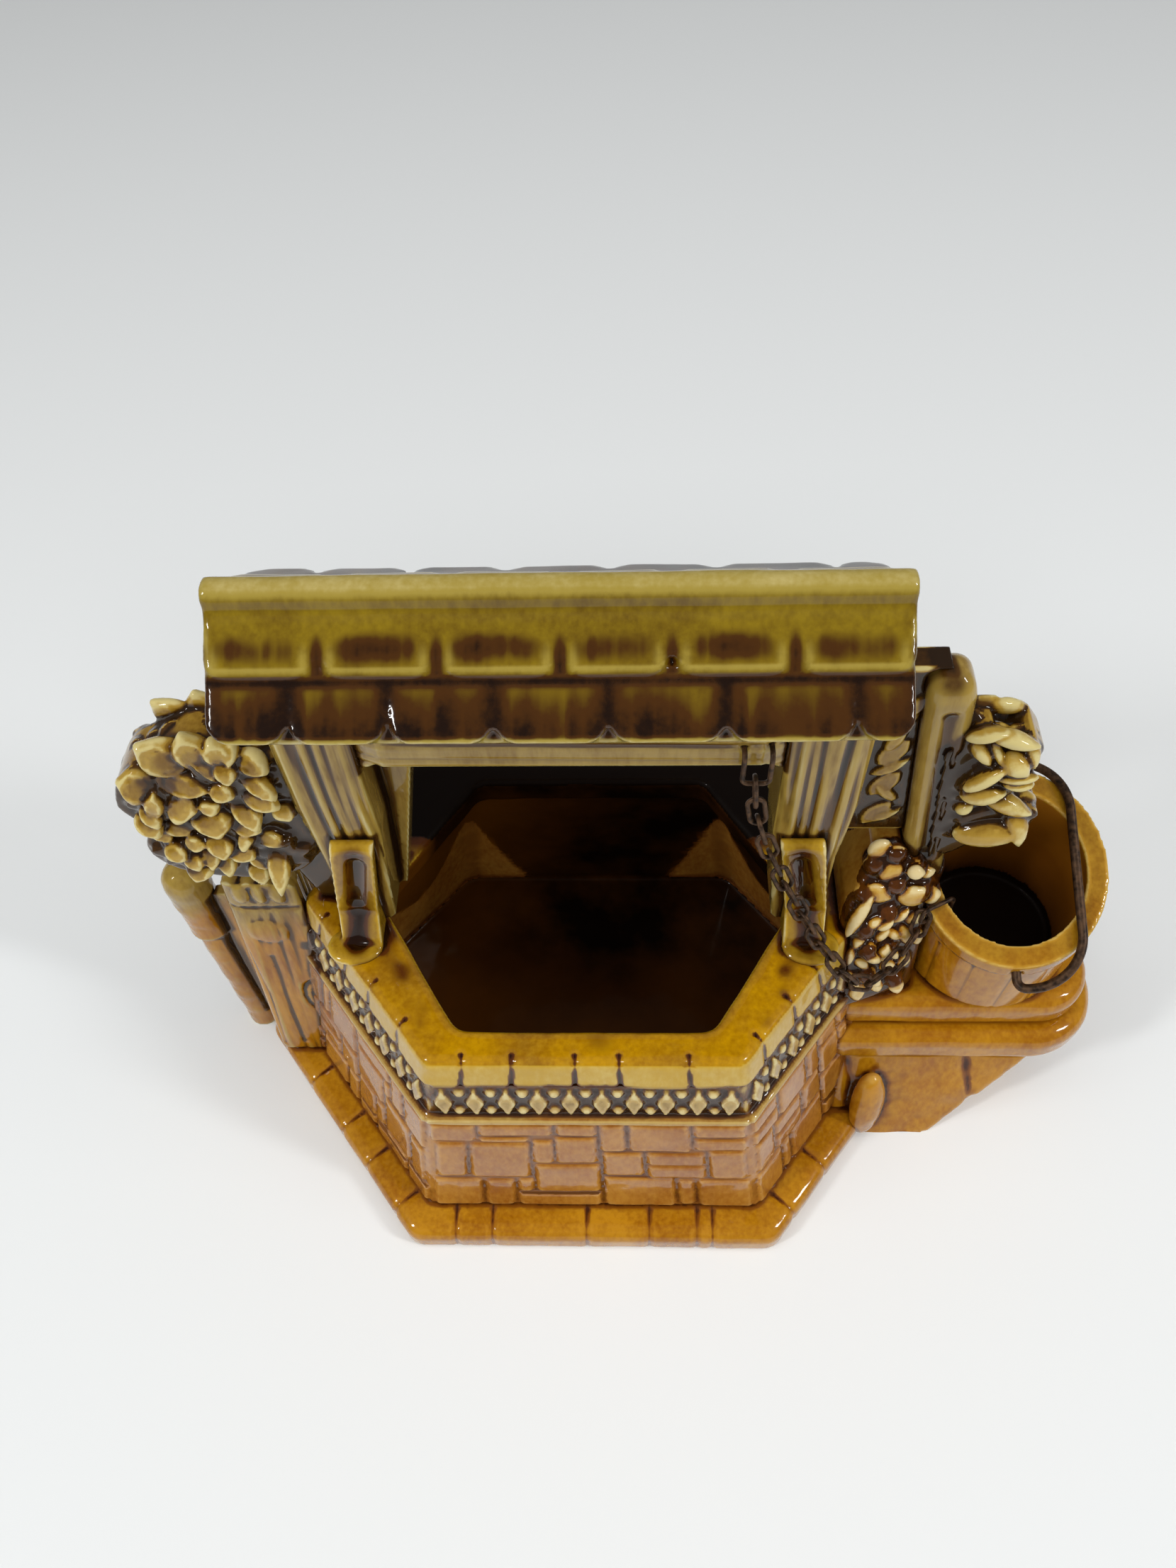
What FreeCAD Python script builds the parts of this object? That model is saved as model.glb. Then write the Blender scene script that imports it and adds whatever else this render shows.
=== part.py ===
import FreeCAD, Part
import math
import os

# A glazed earthenware planter in the shape of a wishing well, in millimetres.
# X runs from left to right along the front, Y runs from front to back, Z is up.
# The origin lies on the table, under the middle of the six-sided well.

os.makedirs("parts", exist_ok=True)
V = FreeCAD.Vector

# Plinth with its kerb of long stones
plinth_half_depth = 53.0
plinth_half_front = 41.6
plinth_height = 7.8
plinth_corner = 5.0
kerb_round = 3.0
foot_chamfer = 0.6

# Battered wall of the well, a hollow pot with six sides
side_flare = 0.80
foot_half_depth = 45.4
foot_half_front = 37.7
neck_half_depth = 38.5
neck_half_front = 31.6
neck_height = 63.0
wall_thickness = 5.5
floor_thickness = 5.0
wall_corner = 3.0
cavity_corner = 6.0

# Frieze band under the coping
band_foot_height = 54.0
band_recess = 0.7
bead_height = 1.8
bead_relief = 0.9

# Coping, the thick rim of the well
rim_height = 70.8
rim_half_depth = 36.9
rim_half_front = 30.6
mouth_flare = 0.63
mouth_half_depth = 29.3
mouth_half_front = 24.9
mouth_throat = 0.8
mouth_corner = 4.0
rim_round = 2.0
rim_back_flare = 0.54

# Portal: two plank posts, their feet and the lintel
portal_middle = -1.0
portal_half_width = 36.5
lintel_height = 19.6
post_spread = 2.4
post_width = 14.4
post_taper_height = 111.0
post_front = -5.0
post_depth = 12.0
post_round = 1.5
foot_width = 8.4
foot_top_height = 102.0
foot_lean = 4.2
foot_relief = 3.0
foot_spread_front = 4.4
foot_bevel_height = 8.0
lintel_relief = 1.0
lintel_bracket = 3.5
brace_front = 4.0
brace_depth = 7.0
brace_foot_width = 1.6
brace_head_width = 8.6
flute_radius = 2.5
flute_relief = 0.9
flute_end = 3.0

# Gable roof
ridge_height = 165.0
ridge_depth = -1.0
roof_middle = -1.4
roof_half_length = 52.4
roof_pitch = 40.0
roof_slope_length = 24.0
roof_thickness = 6.0
roof_corner = 4.0
shingle_butt = 2.2
shingle_head = 0.9
shingle_gap = 0.9
shingle_corner = 3.0
ridge_width = 4.4
row_split = 14.0
upper_joint_shares = [-0.672, -0.334, 0.012, 0.323, 0.662]
lower_joint_shares = [-0.762, -0.477, -0.179, 0.145, 0.473, 0.836]

# Ledge beside the well, two slabs on a rough stone pier
ledge_middle = 3.3
pier_height = 26.0
slab_height = 10.5
lower_slab_half_depth = 20.8
lower_slab_end = 114.0
lower_slab_corner = 15.0
upper_slab_inset = 3.8
slab_round = 3.4
pier_floor_half_depth = 28.6
pier_floor_front_end = 80.4
pier_floor_end = 105.3
pier_floor_side = 9.3
pier_inset = 1.2

# Bucket on the ledge
bucket_x = 87.0
bucket_foot_radius = 17.3
bucket_flare = 0.05
bucket_rim_height = 77.0
bucket_rim_tilt = 21.0
bucket_wall = 3.7
bucket_floor = 5.0
hoop_height = 4.0
hoop_relief = 0.7

# Bail, a bent wire through two holes in the bucket
bail_wire = 1.9
bail_reach = 13.2
bail_bend = 10.8
bail_drop = 3.2
bail_hole_clearance = 0.35
bail_side_clearance = 0.6
bail_rest_clearance = 0.3
bail_bite = 0.9

# Chain of bent wire links
link_wire = 0.9
link_length = 7.0
link_width = 3.8
link_play = 0.25
end_play = 0.3
wire_clearance = 0.15
staple_x = 30.4
staple_half_width = 2.3
staple_rise = 5.0
staple_drop = 7.5
staple_reach = 1.8
staple_bite = 3.0
staple_bend = 1.2
ring_angle = 207.0
ring_drop = 2.6
ring_clearance = 0.4
ring_bend = 1.2

# Fence post and tree stump on the left
log_x = -87.4
log_y = 6.0
log_radius = 4.0
log_cap_radius = 4.9
log_cap_foot = 49.0
log_height = 74.0
stump_left = -79.5
stump_right = -60.5
stump_half_depth = 7.5
stump_height = 76.0
scallop_count = 4
scallop_rise = 1.7
stump_batter = 3.0
stump_round = 3.0
web_thickness = 4.0
web_height = 64.0

# Leaves on the left, and the log, leaves and vine on the right
bush_front = -3.0
bush_depth = 9.0
bush_left = -85.5
bush_foot = 84.0
bush_width = 36.5
bush_height = 44.0
petal_length = 8.4
petal_width = 4.2
petal_relief = 1.5
petal_lap = 0.5
flower_heart = 3.0
right_log_foot_x = 68.0
right_log_top_x = 62.0
right_log_foot_height = 78.0
right_log_drop = 26.4
right_log_width = 8.6
right_log_front = 0.0
right_log_depth = 10.0
right_log_round = 3.0
leaf_panel_front = 3.5
leaf_panel_depth = 5.0
leaf_panel_clearance = 6.0
leaf_front = 0.0
leaf_depth = 8.0
leaf_relief = 1.4
spray_foot = 84.0
spray_height = 43.0
spray_width = 21.6
vine_height = 42.0
berry_radius = 2.3

ledge_height = pier_height + 2 * slab_height
pier_left = 50.0
corner_share = math.sqrt(1 + side_flare ** 2) - side_flare


def hexagon(half_depth, half_front, flare):
    side = half_front + flare * half_depth
    front = [(-half_front, -half_depth), (half_front, -half_depth), (side, 0.0)]
    return front + [(-x, -y) for x, y in front]


def rounded_wire(corners, radius, z):
    """A closed outline at height z whose corners are arcs of one radius."""
    starts, middles, ends = [], [], []
    count = len(corners)
    for i in range(count):
        here = V(*corners[i], z)
        before = (V(*corners[i - 1], z) - here).normalize()
        after = (V(*corners[(i + 1) % count], z) - here).normalize()
        half = before.getAngle(after) / 2
        reach = radius / math.tan(half)
        inward = (before + after).normalize()
        starts.append(here + before * reach)
        middles.append(here + inward * (radius / math.sin(half) - radius))
        ends.append(here + after * reach)
    edges = []
    for i in range(count):
        edges.append(Part.Arc(starts[i], middles[i], ends[i]).toShape())
        edges.append(Part.makeLine(ends[i], starts[(i + 1) % count]))
    return Part.Wire(edges)


def block(lower, upper, z_low, z_high, radius):
    """A solid between two outlines of like corners at two heights."""
    wires = [rounded_wire(lower, radius, z_low), rounded_wire(upper, radius, z_high)]
    return Part.makeLoft(wires, True, True)


def edges_at(shape, z, slack=0.05):
    level = [e for e in shape.Edges if abs(e.BoundBox.ZMin - z) < slack]
    return [e for e in level if abs(e.BoundBox.ZMax - z) < slack]


def plan_extrusion(points, y_front, depth):
    """A flat outline of X and Z points, given its depth along Y."""
    wire = Part.makePolygon([V(x, y_front, z) for x, z in points + points[:1]])
    return Part.Face(wire).extrude(V(0, depth, 0))


def wall_outline(z, inset=0.0):
    share = (z - plinth_height) / (neck_height - plinth_height)
    half_depth = foot_half_depth + share * (neck_half_depth - foot_half_depth) - inset
    half_front = foot_half_front + share * (neck_half_front - foot_half_front) - inset * corner_share
    return hexagon(half_depth, half_front, side_flare)


def wall_block(z_low, z_high, inset, radius):
    return block(wall_outline(z_low, inset), wall_outline(z_high, inset), z_low, z_high, radius)


def make_plinth():
    outline = hexagon(plinth_half_depth, plinth_half_front, side_flare)
    body = block(outline, outline, 0, plinth_height, plinth_corner)
    body = body.makeFillet(kerb_round, edges_at(body, plinth_height))
    return body.makeChamfer(foot_chamfer, edges_at(body, 0))


def make_cavity():
    floor_height = plinth_height + floor_thickness
    return wall_block(floor_height, neck_height + 1, wall_thickness, cavity_corner)


def make_well_wall():
    return wall_block(plinth_height, band_foot_height, 0, wall_corner).cut(make_cavity())


def make_frieze_band():
    band = wall_block(band_foot_height, neck_height, band_recess, wall_corner)
    bead = wall_block(band_foot_height, band_foot_height + bead_height, -bead_relief, wall_corner)
    bead = bead.makeFillet(bead_relief - 0.1, edges_at(bead, band_foot_height + bead_height))
    return band.fuse(bead).cut(make_cavity()).removeSplitter()


def widen_back(outline):
    """A six-sided outline of the coping, whose two back sides lean less than the front ones."""
    extra = (side_flare - rim_back_flare) * rim_half_depth
    (right, right_y), (left, left_y) = outline[3], outline[4]
    return outline[:3] + [(right + extra, right_y), (left - extra, left_y)] + outline[5:]


def coping_block():
    top = hexagon(rim_half_depth, rim_half_front, side_flare)
    foot = wall_outline(neck_height)
    return block(widen_back(foot), widen_back(top), neck_height, rim_height, wall_corner)


def make_coping():
    body = coping_block()
    throat = hexagon(mouth_half_depth + mouth_throat, mouth_half_front + mouth_throat, mouth_flare)
    mouth_top = hexagon(mouth_half_depth, mouth_half_front, mouth_flare)
    mouth = block(throat, mouth_top, neck_height, rim_height, mouth_corner)
    body = body.cut(mouth)
    return body.makeFillet(rim_round, edges_at(body, rim_height))


def make_filled_well():
    """The well with no hollow, for trimming what leans on it."""
    bead = wall_block(band_foot_height, band_foot_height + bead_height, -bead_relief, wall_corner)
    return wall_block(plinth_height, neck_height, 0, wall_corner).fuse([coping_block(), bead])


def deck_underside():
    """The level underside of the roof, on which the posts and lintel end."""
    pitch = math.radians(roof_pitch)
    return ridge_height - roof_slope_length * math.sin(pitch) - roof_thickness * math.cos(pitch)


def portal_top():
    return deck_underside() - lintel_height


def make_brace():
    """The swelling of the left post behind its face, which leans in to the lintel."""
    inner = portal_middle - portal_half_width
    low_inner = inner - post_spread
    points = [
        (low_inner - brace_foot_width, rim_height),
        (low_inner + brace_foot_width, rim_height),
        (inner + brace_head_width, portal_top()),
        (inner - brace_foot_width, portal_top()),
    ]
    return plan_extrusion(points, brace_front, brace_depth)


def make_post(side):
    """A plank post: side is -1 on the left and 1 on the right."""
    inner = portal_half_width
    low_inner = inner + post_spread
    top = deck_underside()
    points = [
        (inner, top),
        (inner + post_width, top),
        (inner + post_width, post_taper_height),
        (low_inner + foot_width + 2, foot_top_height - foot_width),
        (low_inner + foot_width + 2, rim_height),
        (low_inner, rim_height),
        (inner, foot_top_height),
    ]
    points = [(portal_middle + side * x, z) for x, z in points]
    post = plan_extrusion(points, post_front, post_depth)
    uprights = [e for e in post.Edges if e.BoundBox.ZLength > 20 and e.BoundBox.YMin < post_front + 0.1]
    uprights = [e for e in uprights if e.BoundBox.YMax < post_front + 0.1]
    post = post.makeFillet(post_round, uprights)
    return post.fuse(make_brace()).removeSplitter() if side < 0 else post


def flute_cutter(low, high):
    """A round groove between two points on a face that looks to the front."""
    offset = V(0, flute_relief - flute_radius, 0)
    run = high - low
    groove = Part.makeCylinder(flute_radius, run.Length, low + offset, run)
    ends = [Part.makeSphere(flute_radius, p + offset) for p in (low, high)]
    return groove.fuse(ends)


def foot_outline_at(left, near, far):
    right = left + foot_width
    return [(left, near), (right, near), (right, far), (left, far)]


def make_post_foot(side):
    """The short fluted pillar in front of a post, leaning outward to its foot."""
    low = portal_half_width + foot_lean
    high = portal_half_width + 1.2
    depth = foot_relief
    front = post_front
    top_outline = foot_outline_at(high, front - depth, front)
    mid_outline = foot_outline_at(low, front - depth, front)
    spread = foot_spread_front
    foot_outline = [(x, y - (spread if y < front else 0)) for x, y in mid_outline]
    mid_height = rim_height + foot_bevel_height
    sections = []
    levels = (foot_outline, rim_height), (mid_outline, mid_height), (top_outline, foot_top_height)
    for outline, z in levels:
        placed = [(portal_middle + side * x, y) for x, y in outline]
        sections.append(Part.makePolygon([V(x, y, z) for x, y in placed + placed[:1]]))
    pillar = Part.makeLoft(sections, True, True)
    crown = [e for e in edges_at(pillar, foot_top_height) if e.BoundBox.YMax < front - depth + 0.1]
    pillar = pillar.makeFillet(depth * 0.7, crown)
    middle = foot_width / 2
    start = V(portal_middle + side * (low + middle), front - depth, mid_height + flute_end)
    stop = V(portal_middle + side * (high + middle), front - depth, foot_top_height - 2 * flute_end)
    return pillar.cut(flute_cutter(start, stop))


def make_lintel():
    left = portal_middle - portal_half_width
    right = portal_middle + portal_half_width
    top = deck_underside()
    low = portal_top()
    points = [
        (left, top),
        (right, top),
        (right, low - lintel_bracket),
        (right - lintel_bracket, low),
        (left + lintel_bracket, low),
        (left, low - lintel_bracket),
    ]
    beam = plan_extrusion(points, post_front - lintel_relief, post_depth + lintel_relief)
    return beam.cut(staple_holes() + [make_brace()])


def slope_frame(back):
    """Origin and directions of a roof slope: along, down the slope, and out of it."""
    pitch = math.radians(roof_pitch)
    sign = 1 if back else -1
    down = V(0, sign * math.cos(pitch), -math.sin(pitch))
    out = V(0, sign * math.sin(pitch), math.cos(pitch))
    origin = V(roof_middle, ridge_depth, ridge_height) - out * shingle_butt
    return origin, V(1, 0, 0), down, out


def make_roof_deck():
    """The gable body under the shingles, closed at both ends."""
    half = roof_half_length
    points = []
    for back in (False, True):
        origin, along, down, out = slope_frame(back)
        eave = origin + down * roof_slope_length
        under = eave - out * (roof_thickness - shingle_butt)
        points += [eave, under] if not back else [under, eave]
    apex = V(roof_middle, ridge_depth, ridge_height - shingle_butt / math.cos(math.radians(roof_pitch)))
    outline = [apex] + points + [apex]
    face = Part.Face(Part.makePolygon([p - V(half, 0, 0) for p in outline]))
    deck = face.extrude(V(2 * half, 0, 0))
    eave_corners = [e for e in deck.Edges if e.BoundBox.XLength < 0.01 and e.Length < roof_thickness]
    return deck.makeFillet(roof_corner * 0.9, eave_corners)


def make_shingle(left, right, start, stop, back, corners):
    """One shingle from start to stop down a slope, thin at its head and thick at its butt."""
    origin, along, down, out = slope_frame(back)
    side = [(start, 0), (stop, 0), (stop, shingle_butt), (start, shingle_head)]
    points = [origin + along * left + down * v + out * w for v, w in side]
    body = Part.Face(Part.makePolygon(points + points[:1])).extrude(along * (right - left))
    butts = []
    for edge in body.Edges:
        middle = (edge.Vertexes[0].Point + edge.Vertexes[-1].Point) * 0.5 - origin
        direction = (edge.Vertexes[-1].Point - edge.Vertexes[0].Point).normalize()
        if abs(direction.dot(out)) > 0.99 and middle.dot(down) > stop - 0.1:
            butts.append((edge, middle.dot(along)))
    for x, radius in corners:
        edge = min(butts, key=lambda pair: abs(pair[1] - x))[0]
        body = body.makeFillet(radius, [edge_like(body, edge)])
    return body


def edge_like(shape, edge):
    """The edge of a changed shape that has the same ends as an edge of the old one."""
    def miss(other):
        a = (other.Vertexes[0].Point + other.Vertexes[-1].Point) * 0.5
        b = (edge.Vertexes[0].Point + edge.Vertexes[-1].Point) * 0.5
        return (a - b).Length + abs(other.Length - edge.Length)
    return min(shape.Edges, key=miss)


def make_shingle_row(shares, start, stop, back):
    """A row of shingles between joints, given as shares of the roof's half length."""
    half = roof_half_length
    limits = [-half] + [half * share for share in shares] + [half]
    tiles = []
    for i in range(len(limits) - 1):
        left = limits[i] + (shingle_gap / 2 if i else 0)
        right = limits[i + 1] - (shingle_gap / 2 if i < len(limits) - 2 else 0)
        outer = roof_corner if stop >= roof_slope_length else shingle_corner
        corners = [
            (left, outer if i == 0 else shingle_corner),
            (right, outer if i == len(limits) - 2 else shingle_corner),
        ]
        tiles.append(make_shingle(left, right, start, stop, back, corners))
    return Part.Compound(tiles)


def make_ridge():
    """The rounded ridge course that caps both slopes."""
    pitch = math.radians(roof_pitch)
    points = []
    for back in (False, True):
        origin, along, down, out = slope_frame(back)
        edge = origin + down * ridge_width
        points += [edge + out * shingle_head, edge] if not back else [edge, edge + out * shingle_head]
    base = V(roof_middle, ridge_depth, ridge_height - shingle_butt / math.cos(pitch))
    crown = V(roof_middle, ridge_depth, ridge_height)
    start = V(-roof_half_length, 0, 0)
    arc = Part.Arc(points[3] + start, crown + start, points[0] + start).toShape()
    lines = [
        Part.makeLine(points[0] + start, points[1] + start),
        Part.makeLine(points[1] + start, base + start),
        Part.makeLine(base + start, points[2] + start),
        Part.makeLine(points[2] + start, points[3] + start),
    ]
    return Part.Face(Part.Wire(lines + [arc])).extrude(V(2 * roof_half_length, 0, 0))


def make_pier(well, plinth):
    half = pier_floor_half_depth
    side = pier_floor_side
    floor = [
        (pier_left, ledge_middle - half),
        (pier_floor_front_end, ledge_middle - half),
        (pier_floor_end, ledge_middle - side),
        (pier_floor_end, ledge_middle + side),
        (pier_floor_front_end, ledge_middle + half),
        (pier_left, ledge_middle + half),
    ]
    top_half = lower_slab_half_depth - pier_inset
    end = lower_slab_end - 4 * pier_inset
    cut_corner = lower_slab_corner * 0.6
    top = [
        (pier_left, ledge_middle - top_half),
        (end - cut_corner, ledge_middle - top_half),
        (end, ledge_middle - top_half + cut_corner),
        (end, ledge_middle + top_half - cut_corner),
        (end - cut_corner, ledge_middle + top_half),
        (pier_left, ledge_middle + top_half),
    ]
    return block(floor, top, 0, pier_height, 3.0).cut(plinth).cut(well)


def make_slab(z_low, inset, well):
    half = lower_slab_half_depth - inset
    end = lower_slab_end - inset
    corners = [
        (pier_left - 12, ledge_middle - half),
        (end, ledge_middle - half),
        (end, ledge_middle + half),
        (pier_left - 12, ledge_middle + half),
    ]
    slab = block(corners, corners, z_low, z_low + slab_height, lower_slab_corner - inset)
    rims = edges_at(slab, z_low) + edges_at(slab, z_low + slab_height)
    return slab.makeFillet(slab_round, rims).cut(well)


def bucket_radius(z):
    return bucket_foot_radius + bucket_flare * (z - ledge_height)


def rim_cutter():
    """All that lies above the tilted plane of the bucket's rim."""
    size = 120.0
    cutter = Part.makeBox(size, size, size, V(-size / 2, -size / 2, 0))
    cutter.rotate(V(0, 0, 0), V(1, 0, 0), bucket_rim_tilt)
    cutter.translate(V(bucket_x, ledge_middle, bucket_rim_height))
    return cutter


def bucket_cone(z_low, z_high, inset):
    radii = bucket_radius(z_low) - inset, bucket_radius(z_high) - inset
    return Part.makeCone(*radii, z_high - z_low, V(bucket_x, ledge_middle, z_low))


def rim_point(angle, inset, drop):
    """A point of the bucket's wall, at an angle from +X, at a drop below the rim's plane."""
    tilt = math.radians(bucket_rim_tilt)
    z = bucket_rim_height
    for step in range(12):
        radius = bucket_radius(z) - inset
        y = radius * math.sin(math.radians(angle))
        z = bucket_rim_height + y * math.tan(tilt) - drop / math.cos(tilt)
    return V(bucket_x + radius * math.cos(math.radians(angle)), ledge_middle + y, z)


def bail_ends():
    return rim_point(-90, 0, bail_drop), rim_point(90, 0, bail_drop)


def bucket_top():
    return bucket_rim_height + 2 * bucket_foot_radius * math.sin(math.radians(bucket_rim_tilt))


def make_filled_bucket():
    """The bucket with no hollow, for trimming what leans on it."""
    return bucket_cone(ledge_height, bucket_top(), -hoop_relief).cut(rim_cutter())


def make_bucket():
    top = bucket_top()
    shell = bucket_cone(ledge_height, top, 0)
    hoop = bucket_cone(ledge_height, top, -hoop_relief)
    below = rim_cutter()
    below.translate(V(0, 0, -hoop_height))
    shell = shell.fuse(hoop.common(below)).cut(rim_cutter())
    shell = shell.cut(bucket_cone(ledge_height + bucket_floor, top, bucket_wall))
    front, back = bail_ends()
    axis = (back - front).normalize()
    bore = bail_wire / 2 + bail_hole_clearance
    length = (back - front).Length + 20
    shell = shell.cut([Part.makeCylinder(bore, length, front - axis * 10, axis), ring_hole()])
    return shell.removeSplitter()


def make_bail():
    """The wire bail, fallen to the right on the rim, its ends turned in through the holes."""
    front, back = bail_ends()
    axis = (back - front).normalize()
    middle = (front + back) * 0.5
    lean = bail_drop * math.tan(math.radians(bucket_rim_tilt))
    half = (back - front).Length / 2 + hoop_relief + lean + bail_side_clearance + bail_wire / 2
    lift = math.radians(bail_rest_angle())
    up = V(0, -axis.z, axis.y)
    reach = V(1, 0, 0) * math.cos(lift) + up * math.sin(lift)
    tip = (back - front).Length / 2 - bucket_wall * bail_bite

    def at(a, h):
        return middle + axis * a + reach * h

    corners = [at(-tip, 0), at(-half, 0), at(-half, bail_reach)]
    corners += [at(half, bail_reach), at(half, 0), at(tip, 0)]
    bends = [bail_wire, bail_bend, bail_bend, bail_wire]
    path = bent_path(corners, bends)
    section = Part.Wire(Part.makeCircle(bail_wire / 2, corners[0], axis))
    return path.makePipeShell([section], True, False)


def bail_rest_angle():
    """The bail's lift above the rim's plane, in degrees, at which its wire lies on the rim."""
    rise = bail_drop + bail_wire / 2 + bail_rest_clearance
    return math.degrees(math.asin(rise / (bail_reach - bail_bend * 0.12)))


def bent_path(corners, bends):
    """Straight runs joined by tangent arcs, one bend radius for each inner corner."""
    edges = []
    start = corners[0]
    for i, radius in enumerate(bends):
        here = corners[i + 1]
        before = (corners[i] - here).normalize()
        after = (corners[i + 2] - here).normalize()
        half = before.getAngle(after) / 2
        reach = radius / math.tan(half)
        inward = (before + after).normalize()
        arc_start = here + before * reach
        arc_end = here + after * reach
        if (arc_start - start).Length > 0.001:
            edges.append(Part.makeLine(start, arc_start))
        crest = here + inward * (radius / math.sin(half) - radius)
        edges.append(Part.Arc(arc_start, crest, arc_end).toShape())
        start = arc_end
    edges.append(Part.makeLine(start, corners[-1]))
    return Part.Wire(edges)


def make_left_log():
    """A round fence post with a swollen, rounded cap."""
    profile = [
        V(0, 0, 0),
        V(log_radius, 0, 0),
        V(log_radius, 0, log_cap_foot - 1.5),
        V(log_cap_radius, 0, log_cap_foot),
        V(log_cap_radius, 0, log_height - log_cap_radius),
    ]
    edges = [Part.makeLine(a, b) for a, b in zip(profile, profile[1:])]
    turn = math.sqrt(0.5) * log_cap_radius
    knee = V(turn, 0, log_height - log_cap_radius + turn)
    edges.append(Part.Arc(profile[-1], knee, V(0, 0, log_height)).toShape())
    edges.append(Part.makeLine(V(0, 0, log_height), profile[0]))
    log = Part.Face(Part.Wire(edges)).revolve(V(0, 0, 0), V(0, 0, 1), 360)
    log.translate(V(log_x, log_y, 0))
    return log


def make_stump(well, log):
    """A bark-covered stump against the corner of the wall, scalloped along its top."""
    left = stump_left + stump_batter
    width = (stump_right - left) / scallop_count
    edges = [Part.makeLine(V(stump_right, 0, plinth_height), V(stump_left, 0, plinth_height))]
    edges.append(Part.makeLine(V(stump_left, 0, plinth_height), V(left, 0, stump_height)))
    for i in range(scallop_count):
        start = V(left + i * width, 0, stump_height)
        crest = V(start.x + width / 2, 0, stump_height + scallop_rise)
        edges.append(Part.Arc(start, crest, start + V(width, 0, 0)).toShape())
    edges.append(Part.makeLine(V(stump_right, 0, stump_height), V(stump_right, 0, plinth_height)))
    body = Part.Face(Part.Wire(edges)).extrude(V(0, 2 * stump_half_depth, 0))
    body.translate(V(0, -stump_half_depth, 0))
    uprights = [e for e in body.Edges if e.BoundBox.ZLength > 20 and e.BoundBox.XMax < left + 0.1]
    body = body.makeFillet(stump_round, uprights)
    web = Part.makeBox(left + stump_round - log_x, web_thickness, web_height - plinth_height)
    web.translate(V(log_x, log_y - 0.7 * web_thickness, plinth_height))
    return body.fuse(web).cut([well, log]).removeSplitter()


def leaf_blade(x, z, turn, length, width, front, depth):
    """A pointed leaf with two curved sides, its root at x and z, its tip turned from +X to +Z."""
    angle = math.radians(turn)
    along = V(math.cos(angle), 0, math.sin(angle))
    across = V(-along.z, 0, along.x) * (width / 2)
    root = V(x, front, z)
    tip = root + along * length
    middle = (root + tip) * 0.5
    upper = Part.Arc(root, middle + across, tip).toShape()
    lower = Part.Arc(tip, middle - across, root).toShape()
    return Part.Face(Part.Wire([upper, lower])).extrude(V(0, depth, 0))


def make_flower(x, z, petals, size):
    """A rosette: petals in a ring, every other one a little higher, round a small heart."""
    parts = []
    for i in range(petals):
        front = bush_front - petal_relief - (petal_lap if i % 2 else 0)
        depth = bush_front + petal_relief - front
        turn = 360 * (i + 0.3) / petals
        parts.append(leaf_blade(x, z, turn, petal_length * size, petal_width * size, front, depth))
    heart_depth = 2 * petal_relief + 2 * petal_lap
    root = V(x, bush_front - heart_depth / 2, z)
    return parts + [Part.makeCylinder(flower_heart / 2, heart_depth, root, V(0, 1, 0))]


def bush_place(share_x, share_z):
    return bush_left + share_x * bush_width, bush_foot + share_z * bush_height


def make_bush(post):
    """The flowering bush left of the portal, a lobed mass whose stem stands on the coping."""
    outline = [
        (0.0, 0.59), (0.08, 0.76), (0.18, 0.86), (0.32, 0.93), (0.59, 1.0),
        (0.70, 0.89), (0.92, 0.88), (1.0, 0.64), (0.97, 0.36), (0.84, 0.09),
        (0.53, 0.0), (0.27, 0.02), (0.15, 0.06), (0.02, 0.26), (0.08, 0.41),
    ]
    places = [bush_place(*shares) for shares in outline]
    curve = Part.BSplineCurve()
    curve.interpolate([V(x, bush_front, z) for x, z in places], PeriodicFlag=True)
    mass = Part.Face(Part.Wire(curve.toShape())).extrude(V(0, bush_depth, 0))
    corner = rim_half_front + side_flare * rim_half_depth
    inner = portal_half_width + post_spread - portal_middle
    stem_top = bush_foot + bush_height / 4
    stem = [
        (-corner - rim_round, stem_top), (-corner + 2 * rim_round, rim_height),
        (-inner, rim_height), (-inner, stem_top),
    ]
    flowers = [
        (0.66, 0.76, 9, 1.0), (0.28, 0.66, 8, 0.95), (0.52, 0.42, 8, 0.9),
        (0.76, 0.25, 7, 0.75), (0.24, 0.26, 7, 0.8),
    ]
    parts = [plan_extrusion(stem, 0, web_thickness)]
    for share_x, share_z, petals, size in flowers:
        parts += make_flower(*bush_place(share_x, share_z), petals, size)
    return mass.fuse(parts).cut(post).removeSplitter()


def make_right_log(bucket_solid):
    width = right_log_width
    front = right_log_front
    back = front + right_log_depth
    sections = []
    top = ridge_height - right_log_drop
    for x, z in ((right_log_foot_x, right_log_foot_height), (right_log_top_x, top)):
        left, right = x - width / 2, x + width / 2
        outline = [(left, front), (right, front), (right, back), (left, back)]
        sections.append(rounded_wire(outline, right_log_round, z))
    log = Part.makeLoft(sections, True, True)
    log = log.makeFillet(right_log_round - 0.3, edges_at(log, top))
    low = V(right_log_foot_x, front, right_log_foot_height)
    run = V(right_log_top_x, front, top) - low
    inset = (2 * right_log_round + flute_end) / run.Length
    return log.cut([flute_cutter(low + run * inset, low + run * (1 - inset)), bucket_solid])


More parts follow.
